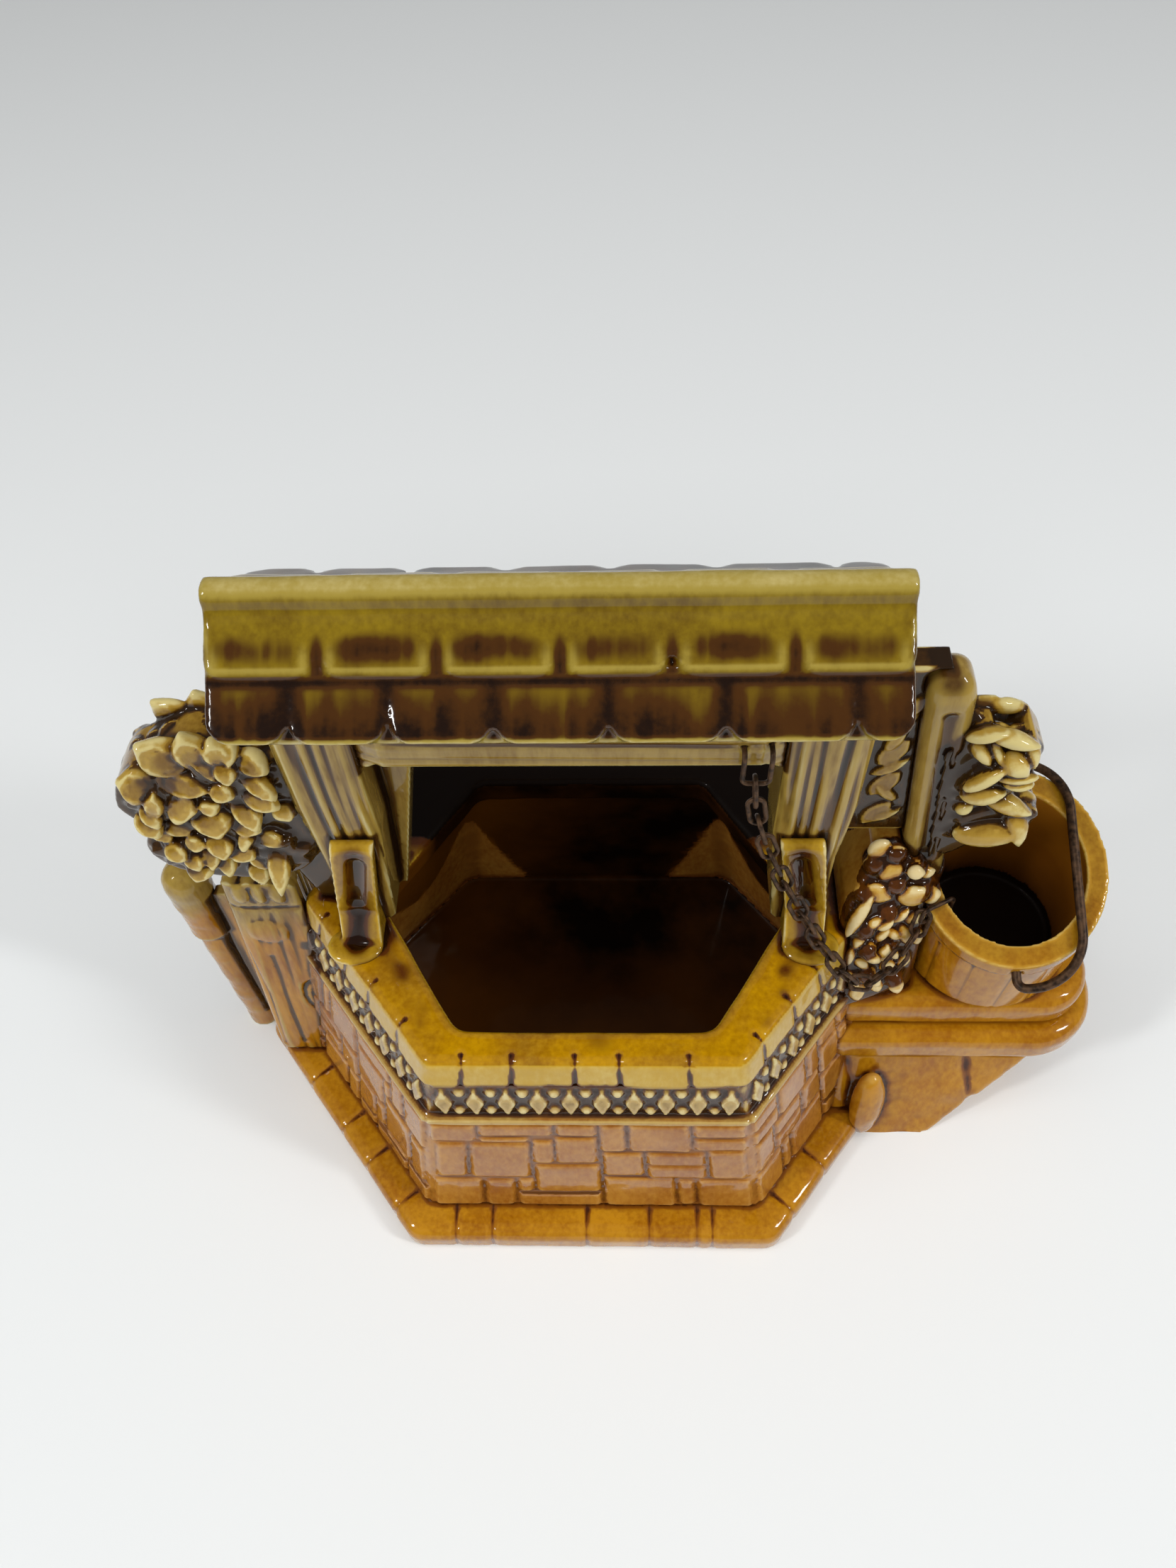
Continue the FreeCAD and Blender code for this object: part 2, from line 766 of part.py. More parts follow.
def make_leaf_panel(log, post):
    """Leaves in low relief that fill the gap between the portal post and the log."""
    post_edge = portal_middle + portal_half_width + post_width
    top = deck_underside() - leaf_panel_clearance
    foot = spray_foot + spray_height / 6
    points = [
        (post_edge - post_round, foot), (right_log_foot_x, foot),
        (right_log_top_x, top), (post_edge - post_round, top),
    ]
    panel = plan_extrusion(points, leaf_panel_front, leaf_panel_depth)
    rise = (top - foot) / 5
    middle = (post_edge + right_log_top_x) / 2 - petal_width / 2
    front = leaf_panel_front - leaf_relief / 2
    leaves = []
    for i in range(4):
        z = foot + rise * (i + 0.3)
        leaves.append(leaf_blade(middle, z, 60, petal_length, petal_width, front, leaf_relief))
    return panel.fuse(leaves).cut([log, post]).removeSplitter()


def spray_place(share_x, share_z):
    left = right_log_foot_x - right_log_width / 2
    return left + share_x * spray_width, spray_foot + share_z * spray_height


def make_right_leaves(log):
    """Leaves that stand out to the right of the log, the largest one over the bucket."""
    outline = [
        (0.17, 0.0), (0.38, 0.09), (0.66, 0.23), (0.96, 0.30), (1.0, 0.40),
        (0.75, 0.48), (0.61, 0.56), (0.75, 0.70), (0.80, 0.86), (0.66, 0.96),
        (0.43, 0.88), (0.33, 1.0), (0.19, 1.0), (0.0, 0.84),
    ]
    fan = plan_extrusion([spray_place(*shares) for shares in outline], leaf_front, leaf_depth)
    blades = [
        (0.28, 0.38, 8, 1.8, 1.9), (0.24, 0.27, 20, 1.65, 0.85), (0.22, 0.55, 20, 1.3, 1.05),
        (0.20, 0.62, 55, 1.65, 1.4), (0.30, 0.66, 25, 1.3, 1.4),
    ]
    parts = []
    for i, (share_x, share_z, turn, length, width) in enumerate(blades):
        x, z = spray_place(share_x, share_z)
        front = leaf_front - leaf_relief - (petal_lap if i % 2 else 0)
        depth = leaf_front + leaf_relief - front
        parts.append(leaf_blade(x, z, turn, length * petal_length, width * petal_width, front, depth))
    return fan.fuse(parts).cut(log).removeSplitter()


def make_vine(well, log, bucket_solid, leaves):
    """Vine and berries on the corner of the wall, from the ledge up to the log."""
    low = [(50.0, -16.0), (70.0, -9.0), (73.0, 4.0), (69.0, 16.0), (50.0, 18.0)]
    high = [(52.0, -8.0), (70.0, -3.0), (74.0, 4.0), (70.0, 12.0), (52.0, 13.0)]
    crown = [(57.0, 0.5), (67.0, 1.0), (70.5, 4.0), (67.0, 8.5), (57.0, 9.0)]
    body = block(low, high, ledge_height, right_log_foot_height, 2.5)
    cap = block(high, crown, right_log_foot_height, ledge_height + vine_height, 2.0)
    places = [
        (0.98, 61.0, 0.0), (0.93, 57.0, -1.0), (0.90, 65.0, -1.4), (0.84, 61.5, -3.6),
        (0.80, 55.5, -4.6), (0.76, 67.0, -3.2), (0.68, 60.6, -6.4), (0.60, 56.5, -8.2),
        (0.47, 57.5, -10.0), (0.42, 62.2, -7.6), (0.27, 58.5, -11.4), (0.17, 65.0, -10.0),
    ]
    berries = []
    for share, x, y in places:
        centre = V(x, y, ledge_height + share * vine_height)
        berries.append(Part.makeSphere(berry_radius, centre))
    vine = body.fuse([cap] + berries)
    return vine.cut([well, log, bucket_solid, leaves]).removeSplitter()


def staple_bar():
    """The middle of the staple's lower bar, which the first link hangs on."""
    return V(staple_x, post_front - lintel_relief - staple_reach, portal_top() + staple_rise - staple_drop)


def make_staple():
    """A wire staple whose two legs are pushed into the front of the lintel under the eave."""
    bar = staple_bar()
    hole_y = post_front - lintel_relief + staple_bite
    hole_z = portal_top() + staple_rise
    left = bar.x - staple_half_width
    right = bar.x + staple_half_width
    corners = [
        V(left, hole_y, hole_z), V(left, bar.y, hole_z), V(left, bar.y, bar.z),
        V(right, bar.y, bar.z), V(right, bar.y, hole_z), V(right, hole_y, hole_z),
    ]
    path = bent_path(corners, [staple_bend] * 4)
    section = Part.Wire(Part.makeCircle(link_wire / 2, corners[0], V(0, 1, 0)))
    return path.makePipeShell([section], True, False)


def staple_holes():
    hole_z = portal_top() + staple_rise
    start = post_front - lintel_relief - 1
    radius = link_wire / 2 + wire_clearance
    bar = staple_bar()
    holes = []
    for x in (bar.x - staple_half_width, bar.x + staple_half_width):
        holes.append(Part.makeCylinder(radius, staple_bite + 1.5, V(x, start, hole_z), V(0, 1, 0)))
    return holes


def ring_bars():
    """The ring's inner and outer bars at the height of its hole, and its rise over the rim."""
    outer = rim_point(ring_angle, 0, ring_drop)
    inner = rim_point(ring_angle, bucket_wall, ring_drop)
    out = V(outer.x - bucket_x, outer.y - ledge_middle, 0).normalize()
    level = V(inner.x, inner.y, outer.z)
    near = level - out * (link_wire / 2 + ring_clearance)
    far = outer + out * (hoop_relief + 1.5 * link_wire + 2 * ring_clearance)
    lean = bucket_wall * math.tan(math.radians(bucket_rim_tilt))
    return near, far, V(0, 0, ring_drop + lean + link_wire / 2 + ring_clearance)


def make_rim_ring():
    """A wire ring through a hole in the bucket's wall, closed over its rim."""
    near, far, rise = ring_bars()
    middle = (near + far) * 0.5
    path = bent_path([middle, far, far + rise, near + rise, near, middle], [ring_bend] * 4)
    section = Part.Wire(Part.makeCircle(link_wire / 2, middle, far - near))
    return path.makePipeShell([section], True, False)


def ring_hole():
    near, far, rise = ring_bars()
    radius = link_wire / 2 + wire_clearance
    return Part.makeCylinder(radius, (far - near).Length + 2, near - (far - near).normalize(), far - near)


def hook_reach(direction, bar):
    """How far the chain's line runs on past a bar that its end link hooks round."""
    square = math.sin(direction.getAngle(bar))
    return (link_wire + end_play) / square - (link_wire + link_play) / 2


def chain_points():
    """The chain's line, from the staple in the lintel to the ring on the bucket's rim."""
    near, far, rise = ring_bars()
    bar = staple_bar()
    end = far + rise * 0.5
    hang = [
        V(31.4, -9.3, 114.5), V(33.4, -10.2, 107.5), V(36.2, -11.2, 100.0),
        V(39.3, -12.2, 92.5), V(42.4, -13.2, 85.5), V(45.6, -14.4, 79.0), V(49.4, -15.8, 72.5),
        V(53.3, -16.9, 66.7), V(57.4, -16.2, 63.2), V(61.6, -13.6, 64.0),
    ]
    down = (hang[0] - bar).normalize()
    up = (end - hang[-1]).normalize()
    first = bar - down * hook_reach(down, V(1, 0, 0))
    last = end + up * hook_reach(up, rise)
    return [first] + hang + [last]


def make_link(centre, direction, side):
    """One closed link of round wire, long along direction and wide along side."""
    turn = (link_width - link_wire) / 2
    straight = (link_length - link_wire) / 2 - turn
    a = centre + direction * straight
    b = centre - direction * straight
    edges = [
        Part.makeLine(b + side * turn, a + side * turn),
        Part.Arc(a + side * turn, a + direction * turn, a - side * turn).toShape(),
        Part.makeLine(a - side * turn, b - side * turn),
        Part.Arc(b - side * turn, b - direction * turn, b + side * turn).toShape(),
    ]
    section = Part.Wire(Part.makeCircle(link_wire / 2, b + side * turn, direction))
    return Part.Wire(edges).makePipeShell([section], True, False)


def square_to(vector, direction):
    """The part of a vector that is square to a direction, made one unit long."""
    return (vector - direction * vector.dot(direction)).normalize()


def link_sides(directions, first, last):
    """The flat of each link, a quarter turn from its neighbour's and eased to suit both ends."""
    sides = [square_to(first, directions[0])]
    for i in range(1, len(directions)):
        quarter = directions[i - 1].cross(sides[-1])
        sides.append(square_to(quarter, directions[i]))
    wanted = square_to(last, directions[-1])
    miss = math.degrees(sides[-1].getAngle(wanted))
    if directions[-1].dot(sides[-1].cross(wanted)) < 0:
        miss = -miss
    miss = (miss + 90) % 180 - 90
    share = miss / (len(sides) - 1)
    return [FreeCAD.Rotation(directions[i], share * i).multVec(sides[i]) for i in range(len(sides))]


def chain_links():
    """Links set one pitch apart along the chain's line, every other one turned on edge."""
    pitch = link_length - 2 * link_wire - link_play
    curve = Part.BSplineCurve()
    curve.interpolate(chain_points())
    count = math.ceil(curve.length() / pitch)
    marks = Part.Edge(curve.toShape()).discretize(Number=count + 1)
    directions = [(marks[i + 1] - marks[i]).normalize() for i in range(count)]
    near, far, rise = ring_bars()
    bar_side = V(0, 1, 0)
    ring_side = directions[-1].cross(rise)
    sides = link_sides(directions, bar_side, ring_side)
    return [make_link((marks[i] + marks[i + 1]) * 0.5, directions[i], sides[i]) for i in range(count)]


filled_well = make_filled_well()
plinth = make_plinth()
left_log = make_left_log()
left_post = make_post(-1)
right_post = make_post(1)
bucket_solid = make_filled_bucket()
right_log = make_right_log(bucket_solid)
right_leaves = make_right_leaves(right_log)

pieces = {
    "plinth": plinth,
    "well_wall": make_well_wall(),
    "frieze_band": make_frieze_band(),
    "coping_rim": make_coping(),
    "left_post": left_post,
    "right_post": right_post,
    "left_post_foot": make_post_foot(-1),
    "right_post_foot": make_post_foot(1),
    "lintel": make_lintel(),
    "roof_deck": make_roof_deck(),
    "shingles_front_upper": make_shingle_row(upper_joint_shares, ridge_width, row_split, False),
    "shingles_front_lower": make_shingle_row(lower_joint_shares, row_split, roof_slope_length, False),
    "shingles_back_upper": make_shingle_row(upper_joint_shares, ridge_width, row_split, True),
    "shingles_back_lower": make_shingle_row(lower_joint_shares, row_split, roof_slope_length, True),
    "ridge_course": make_ridge(),
    "ledge_pier": make_pier(filled_well, plinth),
    "ledge_lower_slab": make_slab(pier_height, 0, filled_well),
    "ledge_upper_slab": make_slab(pier_height + slab_height, upper_slab_inset, filled_well),
    "bucket": make_bucket(),
    "bail": make_bail(),
    "lintel_staple": make_staple(),
    "rim_ring": make_rim_ring(),
    "fence_post": left_log,
    "tree_stump": make_stump(filled_well, left_log),
    "flower_bush": make_bush(left_post),
    "right_log": right_log,
    "leaf_panel": make_leaf_panel(right_log, right_post),
    "leaf_spray": right_leaves,
    "berry_vine": make_vine(filled_well, right_log, bucket_solid, right_leaves),
}

for number, link in enumerate(chain_links(), start=1):
    pieces[f"chain_link_{number:02d}"] = link

for name, shape in pieces.items():
    print(name, "solids", len(shape.Solids), "valid", shape.isValid(), "volume", round(shape.Volume, 1))
    shape.exportStep(f"parts/{name}.step")
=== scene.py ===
# %% [markdown]
# # Wishing well planter: the frame
# The solids of the planter come packed, in metres, with the table at z = 0 and the
# open front facing -Y. Everything made here is dressed over them, so they are
# loaded first.

# %% Load the frame
import bpy
import math
from mathutils import Matrix, Vector


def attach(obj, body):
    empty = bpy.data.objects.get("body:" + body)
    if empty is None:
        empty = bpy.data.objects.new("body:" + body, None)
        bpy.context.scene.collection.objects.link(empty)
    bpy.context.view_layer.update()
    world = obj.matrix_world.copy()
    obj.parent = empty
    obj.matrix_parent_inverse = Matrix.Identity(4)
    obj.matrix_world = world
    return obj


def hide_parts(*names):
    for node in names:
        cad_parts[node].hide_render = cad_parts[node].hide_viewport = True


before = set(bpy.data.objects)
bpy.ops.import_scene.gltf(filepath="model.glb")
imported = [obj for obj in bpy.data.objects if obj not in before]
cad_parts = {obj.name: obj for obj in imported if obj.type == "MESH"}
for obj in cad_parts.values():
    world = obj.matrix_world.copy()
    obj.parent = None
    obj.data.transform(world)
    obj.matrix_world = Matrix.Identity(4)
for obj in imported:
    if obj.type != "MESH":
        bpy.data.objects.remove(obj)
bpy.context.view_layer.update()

# %% [markdown]
# ## Camera
# The picture was taken from above and a little to the left, close up, so the
# upright posts lean together towards the bottom. The place, tilt and focal length
# come from one fit of the camera and the planter's sizes together, to corners and
# edges marked in the picture. Guessed overall sizes went into it, the height held
# tightly, width and depth loosely. A camera set by its axes keeps exactly that view,
# where a tracked one would lose the small roll.

# %% Camera
def new_object(name, data):
    piece = bpy.data.objects.new(name, data)
    bpy.context.scene.collection.objects.link(piece)
    return piece


def view_axes(yaw, pitch, roll):
    forward = Vector((math.sin(yaw) * math.cos(pitch), math.cos(yaw) * math.cos(pitch), -math.sin(pitch)))
    level = Vector((math.cos(yaw), -math.sin(yaw), 0.0))
    upright = level.cross(forward)
    right = math.cos(roll) * level + math.sin(roll) * upright
    up = math.cos(roll) * upright - math.sin(roll) * level
    return right, up, forward


right, up, forward = view_axes(math.radians(-3.82), math.radians(54.68), math.radians(-3.4))
lens = bpy.data.cameras.new("camera")
lens.sensor_width = 36.0
lens.lens = 36.0 * 1666.5 / 2212.0
lens.clip_start = 0.01
camera = new_object("camera", lens)
camera.matrix_world = Matrix((
    (right.x, up.x, -forward.x, 0.0098),
    (right.y, up.y, -forward.y, -0.1235),
    (right.z, up.z, -forward.z, 0.2866),
    (0.0, 0.0, 0.0, 1.0),
))
bpy.context.scene.camera = camera
bpy.context.scene.view_settings.view_transform = "Standard"
print("camera lens", round(lens.lens, 2), "mm")

# %% [markdown]
# ## Table and light
# The planter stands on a pale table. Two broad lamps, above and in front, light it
# softly, and two small ones at the sides put the sharp sparks on its rounded edges.
# A glossy glaze shows the room like a mirror, and a bright room would veil its deep
# colours, so the room stays dim and the two broad lamps leave no reflection.

# %% Table
def clear_selection():
    if bpy.context.object and bpy.context.object.mode != "OBJECT":
        bpy.ops.object.mode_set(mode="OBJECT")
    bpy.ops.object.select_all(action="DESELECT")


def new_material(name):
    material = bpy.data.materials.new(name)
    material.use_nodes = True
    return material, material.node_tree


def feed(tree, node, inputs):
    """Gives each input its value or, where the value is another node's socket, a link."""
    for key, value in inputs.items():
        if isinstance(value, bpy.types.NodeSocket):
            tree.links.new(value, node.inputs[key])
        else:
            node.inputs[key].default_value = value


def make_table():
    clear_selection()
    bpy.ops.mesh.primitive_plane_add(size=3.0, location=(0, 0, 0))
    table = bpy.context.object
    table.name = "table_top"
    bpy.ops.object.transform_apply(location=True, rotation=True, scale=True)
    material, tree = new_material("pale_table")
    feed(tree, tree.nodes["Principled BSDF"], {"Base Color": (0.86, 0.88, 0.88, 1.0), "Roughness": 0.8})
    table.data.materials.append(material)


make_table()


def make_lamp(name, place, aim, size, power):
    data = bpy.data.lights.new(name, "AREA")
    data.shape = "RECTANGLE"
    data.size, data.size_y = size
    data.energy = power
    lamp = new_object(name, data)
    lamp.location = place
    lamp.rotation_euler = (Vector(aim) - Vector(place)).to_track_quat("-Z", "Y").to_euler()
    return lamp


make_lamp("lamp_left", (-0.95, -0.55, 1.00), (0, 0, 0.08), (0.12, 0.36), 5.2)
make_lamp("lamp_right", (1.00, -0.35, 0.95), (0, 0, 0.08), (0.12, 0.36), 4.6)
for broad in (
    make_lamp("lamp_front", (0.05, -1.05, 1.15), (0, 0, 0.06), (1.4, 0.3), 7.4),
    make_lamp("lamp_top", (0.05, -0.10, 1.40), (0.05, -0.10, 0.0), (2.2, 0.5), 8.6),
):
    broad.visible_glossy = False
world = bpy.data.worlds.new("soft_room")
bpy.context.scene.world = world
world.use_nodes = True
room = world.node_tree.nodes["Background"]
feed(world.node_tree, room, {"Color": (1.0, 1.0, 1.0, 1.0), "Strength": 0.16})

# %% [markdown]
# ## How a slip-cast pot is dressed
# The real planter is poured in a plaster mould, so every edge is soft, and its
# glaze runs off the edges and gathers in the hollows. Sculpting would give that
# too, but not twice alike. Here each solid is copied and merged, raised stones,
# petals or beads are laid on the copy, and a voxel remesh melts them into one
# skin, which a smoothing pass softens like wet slip.

# %% Skin helpers
import numpy as np
from mathutils import noise
from mathutils.bvhtree import BVHTree
MM = 0.001
FINENESS = 1.0


def take_up(piece):
    clear_selection()
    piece.select_set(True)
    bpy.context.view_layer.objects.active = piece


def merged_copy(name, *nodes):
    """One new object made of copies of CAD solids, its doubles merged."""
    clear_selection()
    for node in nodes:
        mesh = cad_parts[node].data.copy()
        mesh.materials.clear()
        copy = new_object(name, mesh)
        copy.select_set(True)
        bpy.context.view_layer.objects.active = copy
    if len(nodes) > 1:
        bpy.ops.object.join()
    bpy.ops.object.mode_set(mode="EDIT")
    bpy.ops.mesh.select_all(action="SELECT")
    bpy.ops.mesh.remove_doubles(threshold=0.00001)
    bpy.ops.object.mode_set(mode="OBJECT")
    return bpy.context.object


def lay_on(piece, parts):
    """Joins loose relief parts to a piece, before both are melted into one skin."""
    clear_selection()
    for part in parts:
        part.select_set(True)
    piece.select_set(True)
    bpy.context.view_layer.objects.active = piece
    bpy.ops.object.join()


def modify(piece, kind, **settings):
    """Adds a modifier, gives it its settings and applies it."""
    take_up(piece)
    bpy.ops.object.modifier_add(type=kind)
    modifier = piece.modifiers[-1]
    for key, value in settings.items():
        setattr(modifier, key, value)
    bpy.ops.object.modifier_apply(modifier=modifier.name)


def melt(piece, voxel, soften):
    """Voxel remesh in millimetres, then a smoothing pass."""
    modify(piece, "REMESH", mode="VOXEL", voxel_size=voxel * FINENESS * MM)
    modify(piece, "SMOOTH", factor=0.5, iterations=max(1, round(soften / FINENESS)))


def thin_out(piece, most):
    """Collapses flat stretches until the piece has at most so many triangles."""
    count = sum(len(p.vertices) - 2 for p in piece.data.polygons)
    if count > most:
        modify(piece, "DECIMATE", ratio=most / count)
    take_up(piece)
    bpy.ops.object.shade_smooth()
    return count


def points_of(piece):
    co = np.empty(len(piece.data.vertices) * 3)
    piece.data.vertices.foreach_get("co", co)
    out = np.empty(len(piece.data.vertices) * 3)
    piece.data.vertices.foreach_get("normal", out)
    return co.reshape(-1, 3) / MM, out.reshape(-1, 3)


def unit(values):
    """The values held between 0 and 1."""
    return np.clip(values, 0, 1)


def bell(distance, width):
    """1 at no distance, fading to almost nothing at twice the width."""
    return np.exp(-(distance / width) ** 2)


def cloud(points):
    """Soft noise at each point, between about -1 and 1."""
    return np.array([noise.noise(Vector(p)) for p in points])


def move_points(piece, co):
    piece.data.vertices.foreach_set("co", (co * MM).ravel())
    piece.data.update()


print("voxels are", FINENESS, "times their full size")

# %% [markdown]
# Joints between stones and the grain of planks are pressed into the skin after it
# is melted, as a modeller presses them with a tool. A stroke is a line of points in
# millimetres, and every vertex near it is pushed in along its normal, most on the
# line itself.

# %% Carving tools
def distance_to(line, co):
    best = np.full(len(co), 1e9)
    for a, b in zip(line, line[1:]):
        a, b = np.array(a, float), np.array(b, float)
        span = b - a
        share = unit((co - a) @ span / max(span @ span, 1e-9))
        best = np.minimum(best, np.linalg.norm(co - a - share[:, None] * span, axis=1))
    return best


def carve(piece, strokes):
    """strokes: (line, width, depth) in millimetres. A negative depth raises a rib."""
    co, out = points_of(piece)
    push = np.zeros(len(co))
    for line, width, depth in strokes:
        low = np.min(line, axis=0) - 2 * width
        high = np.max(line, axis=0) + 2 * width
        near = np.where(np.all((co > low) & (co < high), axis=1))[0]
        if len(near):
            push[near] += depth * bell(distance_to(line, co[near]), 0.5 * width)
    move_points(piece, co - out * push[:, None])


def grain(piece, across, lean, spacing, depth, seed, where=None):
    """Long ribs that run up a plank or log, uneven in width, on faces that stand upright."""
    co, out = points_of(piece)
    rng = np.random.default_rng(seed)
    place = co @ np.array(across) - lean * co[:, 2]
    wave = np.zeros(len(co))
    for k in range(4):
        pitch = spacing * (0.7 + 0.28 * k)
        bend = 0.35 * np.sin(co[:, 2] / (9 + 4 * k) + rng.uniform(0, 6))
        wave += np.sin(2 * math.pi * (place + bend) / pitch + rng.uniform(0, 6))
    upright = 1 - np.abs(out[:, 2])
    if where is not None:
        upright = upright * where(co, out)
    move_points(piece, co + out * (depth * np.clip(wave / 2, -1, 1) * upright)[:, None])


def unevenness(piece, size, strength):
    """A slow swell over the skin, as on any piece drawn wet from its mould."""
    texture = bpy.data.textures.new("swell", "CLOUDS")
    texture.noise_scale = size * MM
    modify(piece, "DISPLACE", texture=texture, texture_coords="LOCAL", strength=strength * MM, mid_level=0.5)


# %% [markdown]
# ## Where the glaze gathers
# Two numbers are kept at each vertex for the glaze to read: pool, how deep it lies
# in a hollow, and edge, how sharp an edge it stands on. Both come from how far the
# average of its neighbours lies above or below it. Close neighbours find joints
# and arrises, far ones find the corners where two pieces meet. Where the skin runs
# into another piece of the planter, the glaze gathers as well.

# %% Glaze measures
FIRED = [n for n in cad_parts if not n.startswith(("chain_link", "bail", "lintel_staple", "rim_ring"))]


def neighbours_tree(skip):
    places, faces = [], []
    for node in FIRED:
        if node in skip:
            continue
        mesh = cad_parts[node].data
        start = len(places)
        places += [tuple(v.co) for v in mesh.vertices]
        faces += [[start + i for i in p.vertices] for p in mesh.polygons]
    return BVHTree.FromPolygons(places, faces)


def averaged(co, a, b, degree, rounds):
    for _ in range(rounds):
        total = np.empty_like(co)
        for axis in range(3):
            total[:, axis] = np.bincount(a, co[b, axis], len(co)) + np.bincount(b, co[a, axis], len(co))
        co = total / degree[:, None]
    return co


def gather_glaze(piece, nodes, voxel, extra=None, reach=1.6):
    co, out = points_of(piece)
    pairs = np.empty(len(piece.data.edges) * 2, dtype=np.int64)
    piece.data.edges.foreach_get("vertices", pairs)
    a, b = pairs.reshape(-1, 2).T
    degree = np.maximum(np.bincount(a, minlength=len(co)) + np.bincount(b, minlength=len(co)), 1)
    step = (voxel * FINENESS) ** 2
    close = averaged(co, a, b, degree, max(2, round(0.9 / step)))
    wide = averaged(close, a, b, degree, max(4, round(7.0 / step)))
    near_rise = np.sum((close - co) * out, axis=1)
    far_rise = np.sum((wide - co) * out, axis=1)
    pool = unit(near_rise / 0.20) + unit(far_rise / 0.75)
    edge = unit((-near_rise - 0.04) / 0.26) + 0.35 * unit((-far_rise - 0.1) / 0.9)
    tree = neighbours_tree(nodes)
    touch = np.zeros(len(co))
    for i, place in enumerate(co * MM):
        hit = tree.find_nearest(place, reach * MM)
        if hit[3] is not None:
            touch[i] = 1 - hit[3] / (reach * MM)
    pool += 0.9 * touch ** 1.5
    edge *= 1 - touch
    if extra is not None:
        pool, edge = extra(co, out, pool, edge)
    for title, values in (("pool", pool), ("edge", edge)):
        layer = piece.data.attributes.new(title, "FLOAT", "POINT")
        layer.data.foreach_set("value", np.clip(values, 0, 1).astype(np.float32))


# %% [markdown]
# ## The glaze
# One recipe serves the whole planter: a runny glaze, amber on the lower half and
# olive above. Its colour is broken by fine upright streaks. Where it pools it turns
# brown and then nearly black, and where it runs thin over an edge it turns golden
# and then the cream of the clay. A clear coat on a smooth base gives the gloss.

# %% Glaze recipe
def tone(code):
    values = [int(code[i:i + 2], 16) / 255 for i in (0, 2, 4)]
    return tuple([v / 12.92 if v <= 0.04045 else ((v + 0.055) / 1.055) ** 2.4 for v in values] + [1.0])


def add_node(tree, kind, inputs, **settings):
    node = tree.nodes.new("ShaderNode" + kind)
    for key, value in settings.items():
        setattr(node, key, value)
    feed(tree, node, inputs)
    return node


def place_in(tree):
    return add_node(tree, "TexCoord", {}).outputs["Object"]


def mark(tree, title):
    return add_node(tree, "Attribute", {}, attribute_name=title).outputs["Fac"]


def ramp(tree, value, stops):
    node = add_node(tree, "ValToRGB", {"Fac": value})
    elements = node.color_ramp.elements
    while len(elements) < len(stops):
        elements.new(0.5)
    for element, (place, colour) in zip(elements, stops):
        element.position = place
        element.color = tone(colour) if isinstance(colour, str) else colour
    return node.outputs["Color"]


def blend(tree, share, first, second):
    second = tone(second) if isinstance(second, str) else second
    return add_node(tree, "Mix", {"Factor": share, 6: first, 7: second}, data_type="RGBA").outputs[2]


def times(tree, first, second):
    return add_node(tree, "Math", {0: first, 1: second}, operation="MULTIPLY").outputs["Value"]


def plus(tree, first, second):
    return add_node(tree, "Math", {0: first, 1: second}, operation="ADD").outputs["Value"]


def mottle(tree, place, scale, stretch, detail):
    stretched = add_node(tree, "Mapping", {"Scale": (1.0, 1.0, stretch), "Vector": place}).outputs["Vector"]
    look = {"Scale": scale, "Detail": detail, "Roughness": 0.55, "Vector": stretched}
    return add_node(tree, "TexNoise", look).outputs["Fac"]


def fine_bumps(tree, place, scale, strength, distance):
    height = mottle(tree, place, scale, 1.0, 2.0)
    return add_node(tree, "Bump", {
        "Strength": strength, "Distance": distance, "Height": height,
    }).outputs["Normal"]


def share_of(tree, value, low, high, most=1.0):
    limits = {"From Min": low, "From Max": high, "To Max": most, "Value": value}
    return add_node(tree, "MapRange", limits, interpolation_type="SMOOTHSTEP").outputs["Result"]


def make_glaze(name, low, high, turn, pool, edge, streak=0.45):
    """low and high: (dark, light) below and above the height turn. pool: (brown, darkest).
    edge: (golden, cream)."""
    material, tree = new_material(name)
    place = place_in(tree)
    coarse = mottle(tree, place, 70.0, 0.6, 3.0)
    fine = mottle(tree, place, 900.0, streak, 2.0)
    both = plus(tree, times(tree, coarse, 0.6), times(tree, fine, 0.4))
    lower = ramp(tree, both, [(0.36, low[0]), (0.62, low[1])])
    upper = ramp(tree, both, [(0.36, high[0]), (0.62, high[1])])
    height = add_node(tree, "SeparateXYZ", {"Vector": place}).outputs["Z"]
    lifted = plus(tree, height, times(tree, coarse, 0.016))
    colour = blend(tree, share_of(tree, lifted, (turn + 2) * MM, (turn + 14) * MM), lower, upper)
    speck = plus(tree, times(tree, both, 1.2), 0.4)
    for title, start, end, most, paint in (
        ("edge", 0.05, 0.45, 0.9, edge[0]), ("edge", 0.45, 0.95, 0.9, edge[1]),
        ("pool", 0.06, 0.50, 1.0, pool[0]), ("pool", 0.50, 1.00, 1.0, pool[1]),
    ):
        amount = times(tree, mark(tree, title), speck)
        colour = blend(tree, share_of(tree, amount, start, end, most), colour, paint)
    feed(tree, tree.nodes["Principled BSDF"], {
        "Base Color": colour, "Roughness": 0.25, "IOR": 1.45, "Specular IOR Level": 0.08,
        "Coat Weight": 0.7, "Coat Roughness": 0.03, "Normal": fine_bumps(tree, place, 260.0, 0.12, 0.0004),
    })
    return material
